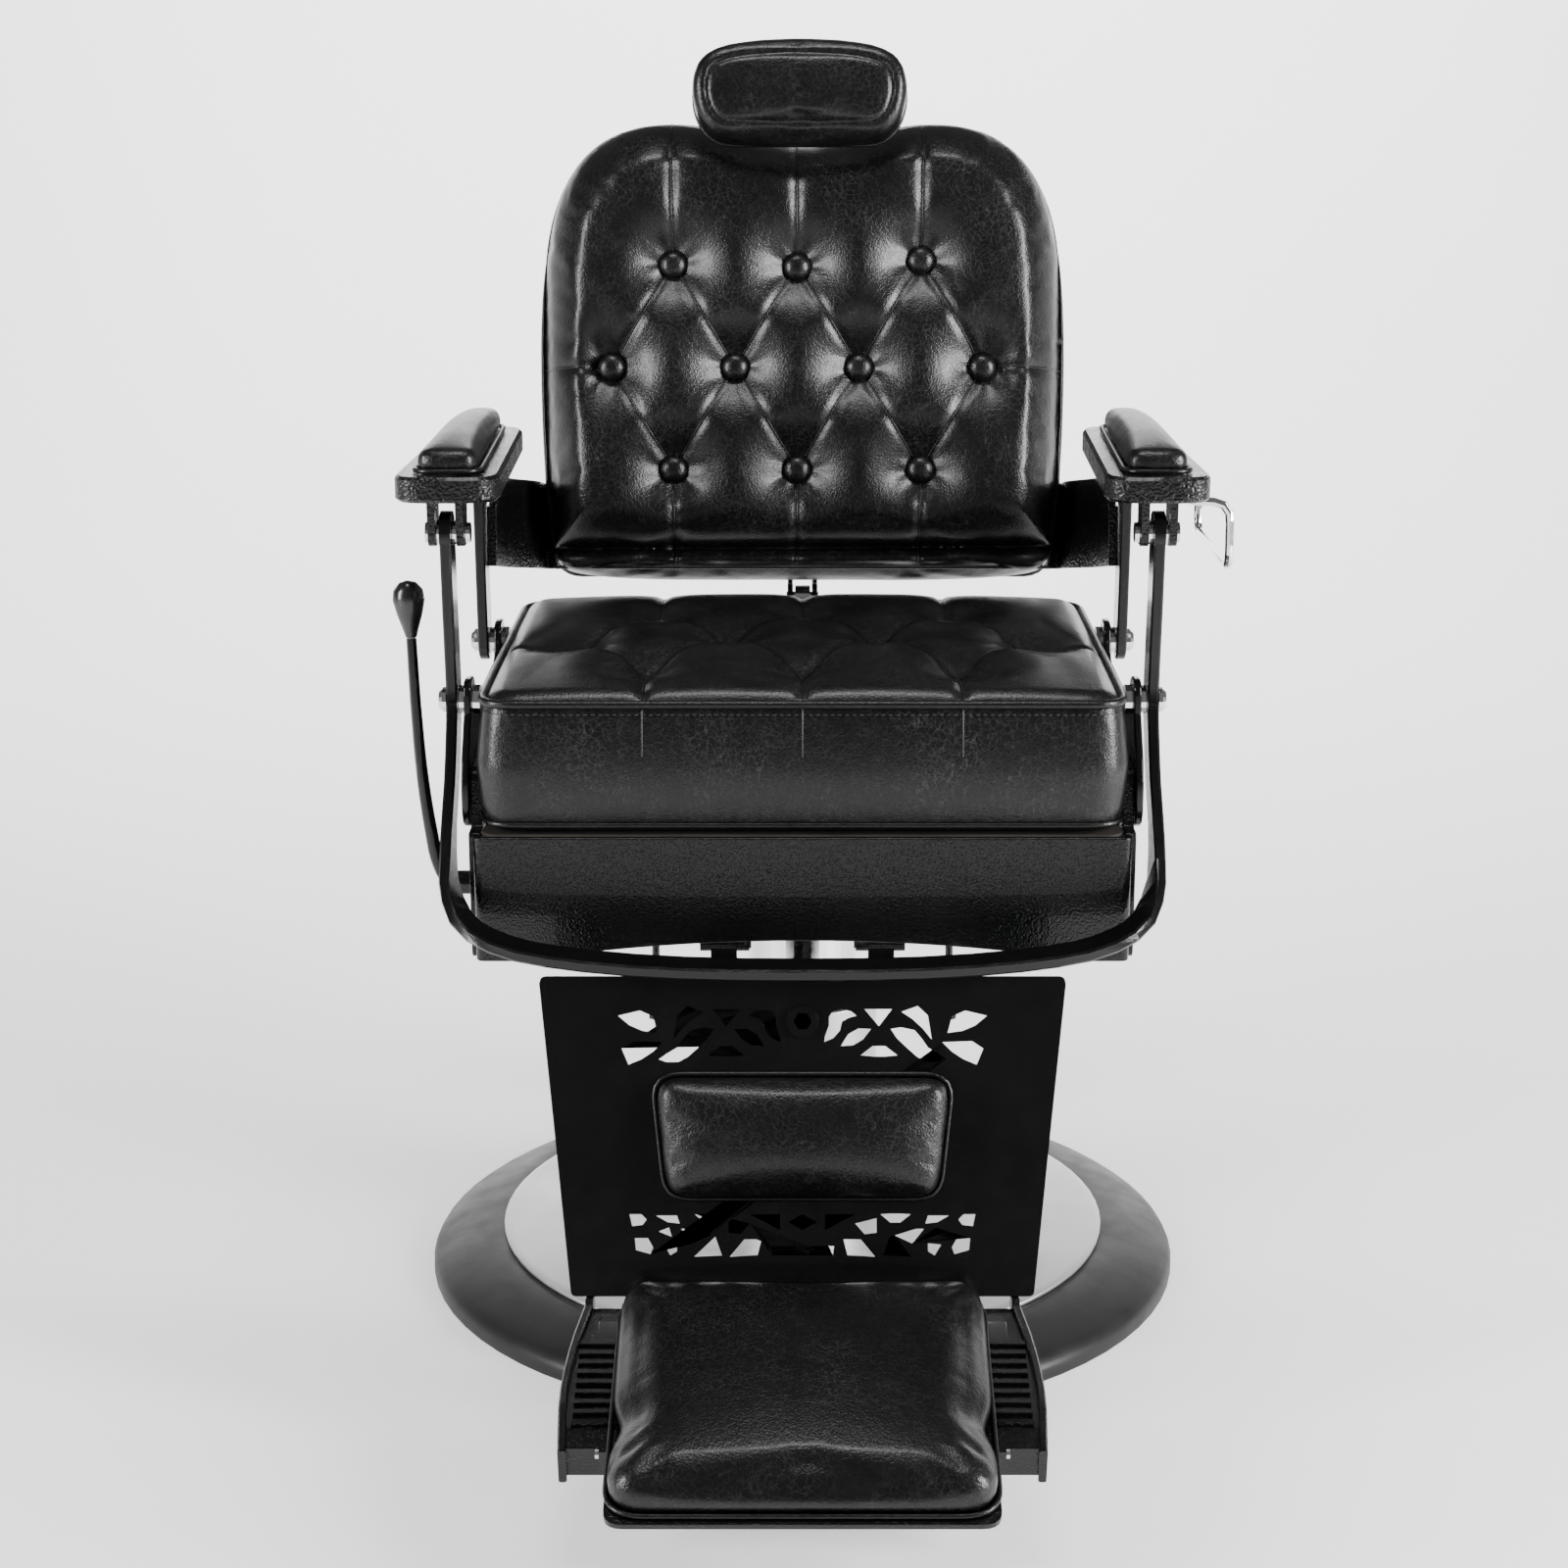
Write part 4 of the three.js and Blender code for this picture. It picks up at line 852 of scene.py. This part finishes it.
def headrest_pad():
    """The headrest: hollowed for the neck, with a sewn groove inside its front edge."""
    x, foot = -0.0025, 0.3815
    loop = bezier_loop((x - 0.062, foot), ((x + 0.062, foot),),
                       ((x + 0.086, foot + 0.001), (x + 0.097, foot + 0.026), (x + 0.095, foot + 0.048)),
                       ((x + 0.092, foot + 0.074), (x + 0.080, foot + 0.087), (x, foot + 0.087)),
                       ((x - 0.080, foot + 0.087), (x - 0.092, foot + 0.074), (x - 0.095, foot + 0.048)),
                       ((x - 0.097, foot + 0.026), (x - 0.086, foot + 0.001), (x - 0.062, foot)))

    def neck(flat, rise):
        bend = np.cos(np.clip(flat[:, 0] / 0.098, -1, 1) * math.pi / 2)
        flat[:, 2] -= rise * 0.008 * bend
        seam = edge_distance(flat[:, :2], loop)
        flat[:, 2] -= rise * 0.0022 * np.exp(-((seam - 0.0135) / 0.0022) ** 2)

    pillow("headrest_cushion", "headrest_pad", "headrest", loop, 0.0022, 0.062, ON_BACK,
           roll=0.012, cap=0.005, crown=0.001, shape=neck)
    bead_on("headrest_rear_piping", "headrest", loop, 0.0005, 0.006, ON_BACK, 0.002)


def arm_pads():
    """The two arm pads, mirror images."""
    for side, name in ((1, "left"), (-1, "right")):
        low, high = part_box(f"arm_pad_{name}")
        near = [(0.248, -0.221, 0.015), (0.296, -0.221, 0.015), (0.293, -0.06, 0.03), (0.285, 0.043, 0.012),
                (0.256, 0.043, 0.012)]
        corners = near if side > 0 else [(-x, y, r) for x, y, r in reversed(near)]
        loop = rounded_loop(corners)
        pillow(f"arm_cushion_{name}", f"arm_pad_{name}", f"arm_{name}", loop, low.z, high.z - 0.001, FLAT,
               roll=0.008, cap=0.004, crown=0.006, voxel=0.0035)
        bead_on(f"arm_piping_{name}", f"arm_{name}", loop, -0.002, low.z + 0.0022, FLAT, 0.002)


def leg_pads():
    """The calf pad on the leg panel, and the foot pad, which narrows where its flip pin passes."""
    calf = rounded_loop([(-0.102, -0.166, 0.016), (0.102, -0.166, 0.016), (0.112, -0.076, 0.018),
                         (-0.112, -0.076, 0.018)])
    pillow("calf_cushion", "calf_pad", "legrest", calf, 0.0043, 0.0245, ON_PANEL,
           roll=0.012, cap=0.005, crown=0.008)
    bead_on("calf_piping", "legrest", calf, -0.002, 0.0065, ON_PANEL, 0.002)
    foot = rounded_loop([(-0.134, -0.243, 0.026), (0.134, -0.243, 0.026), (0.134, -0.009, 0.022),
                         (-0.134, -0.009, 0.022)])

    def waist(flat, rise):
        flat[:, 0] *= 1 - 0.05 * np.exp(-((flat[:, 1] - FLIP_PIN) / 0.02) ** 2)

    pillow("foot_cushion", "foot_pad", "foot_flip", foot, 0.0123, 0.040, ON_TREAD,
           roll=0.016, cap=0.003, crown=0.014, pressure=2.0, shape=waist)
    bead_on("foot_piping", "foot_flip", foot, -0.0015, 0.0145, ON_TREAD, 0.002)


def shell_piping():
    """Piping round the rear face of the back shell."""
    bead_on("shell_piping", "back", back_loop(0.006), 0.0008, -0.0985, ON_BACK, 0.0024)


# ---------------------------------------------------------------- studio
def area_light(name, place, aim, width, height, watts):
    """A softbox at place that faces aim."""
    light = bpy.data.lights.new(name, "AREA")
    light.shape, light.size, light.size_y, light.energy = "RECTANGLE", width, height, watts
    lamp = bpy.data.objects.new(name, light)
    lamp.location = place
    lamp.rotation_euler = (Vector(aim) - Vector(place)).to_track_quat("-Z", "Y").to_euler()
    scene.collection.objects.link(lamp)


def floor():
    """A white sweep: floor, a wide curve, and a wall well behind the chair."""
    profile = [(-24, 0), (2.4, 0)]
    profile += [(2.4 + 1.6 * math.sin(t), 1.6 - 1.6 * math.cos(t)) for t in np.linspace(0.1, math.pi / 2, 14)]
    profile += [(4.0, 2.0)]
    vertices = [(x, y, z) for y, z in profile for x in (-24, 24)]
    faces = [(2 * i, 2 * i + 1, 2 * i + 3, 2 * i + 2) for i in range(len(profile) - 1)]
    s = Shader("studio_white", Roughness=0.7, Specular_IOR_Level=0.2, Emission_Color=(1, 1, 1, 1),
               Emission_Strength=0.42)
    s.paint(s.colours(s.noise(0.8, 2), (0.3, 0.86), (0.7, 0.88)))
    sweep = new_object("floor", vertices, faces, s.material)
    sweep.data.shade_smooth()


def studio():
    """Dim world, a tall softbox at each side, a top light, and one light for the wall alone."""
    floor()
    world = bpy.data.worlds.new("studio")
    world.use_nodes = True
    world.node_tree.nodes["Background"].inputs["Color"].default_value = (1, 1, 1, 1)
    world.node_tree.nodes["Background"].inputs["Strength"].default_value = 0.16
    scene.world = world
    area_light("left_box", (-2.3, -1.3, 1.25), (0, 0, 0.75), 0.5, 1.7, 100)
    area_light("right_box", (2.3, -1.2, 1.25), (0, 0, 0.75), 0.6, 1.7, 170)
    area_light("top_box", (0, -0.6, 3.4), (0, 0, 0.5), 1.2, 0.5, 40)
    area_light("wall_box", (0, 1.9, 2.6), (0, 3.8, 0.8), 4.5, 0.6, 230)


def camera():
    """The photograph's own view, fitted to the round base."""
    data = bpy.data.cameras.new("camera")
    data.sensor_width, data.lens, data.shift_x = 36, 65.03, -0.0118
    view = bpy.data.objects.new("camera", data)
    view.location = (0, -2.3701, 1.0561)
    view.rotation_euler = (math.radians(75.269), 0, 0)
    scene.collection.objects.link(view)
    scene.camera = view


# ---------------------------------------------------------------- the whole
scene.frame_set(1)
camera()
studio()
dress_frame()
seat_cushion()
back_cushion()
shell_piping()
headrest_pad()
arm_pads()
leg_pads()
scene.frame_set(1)
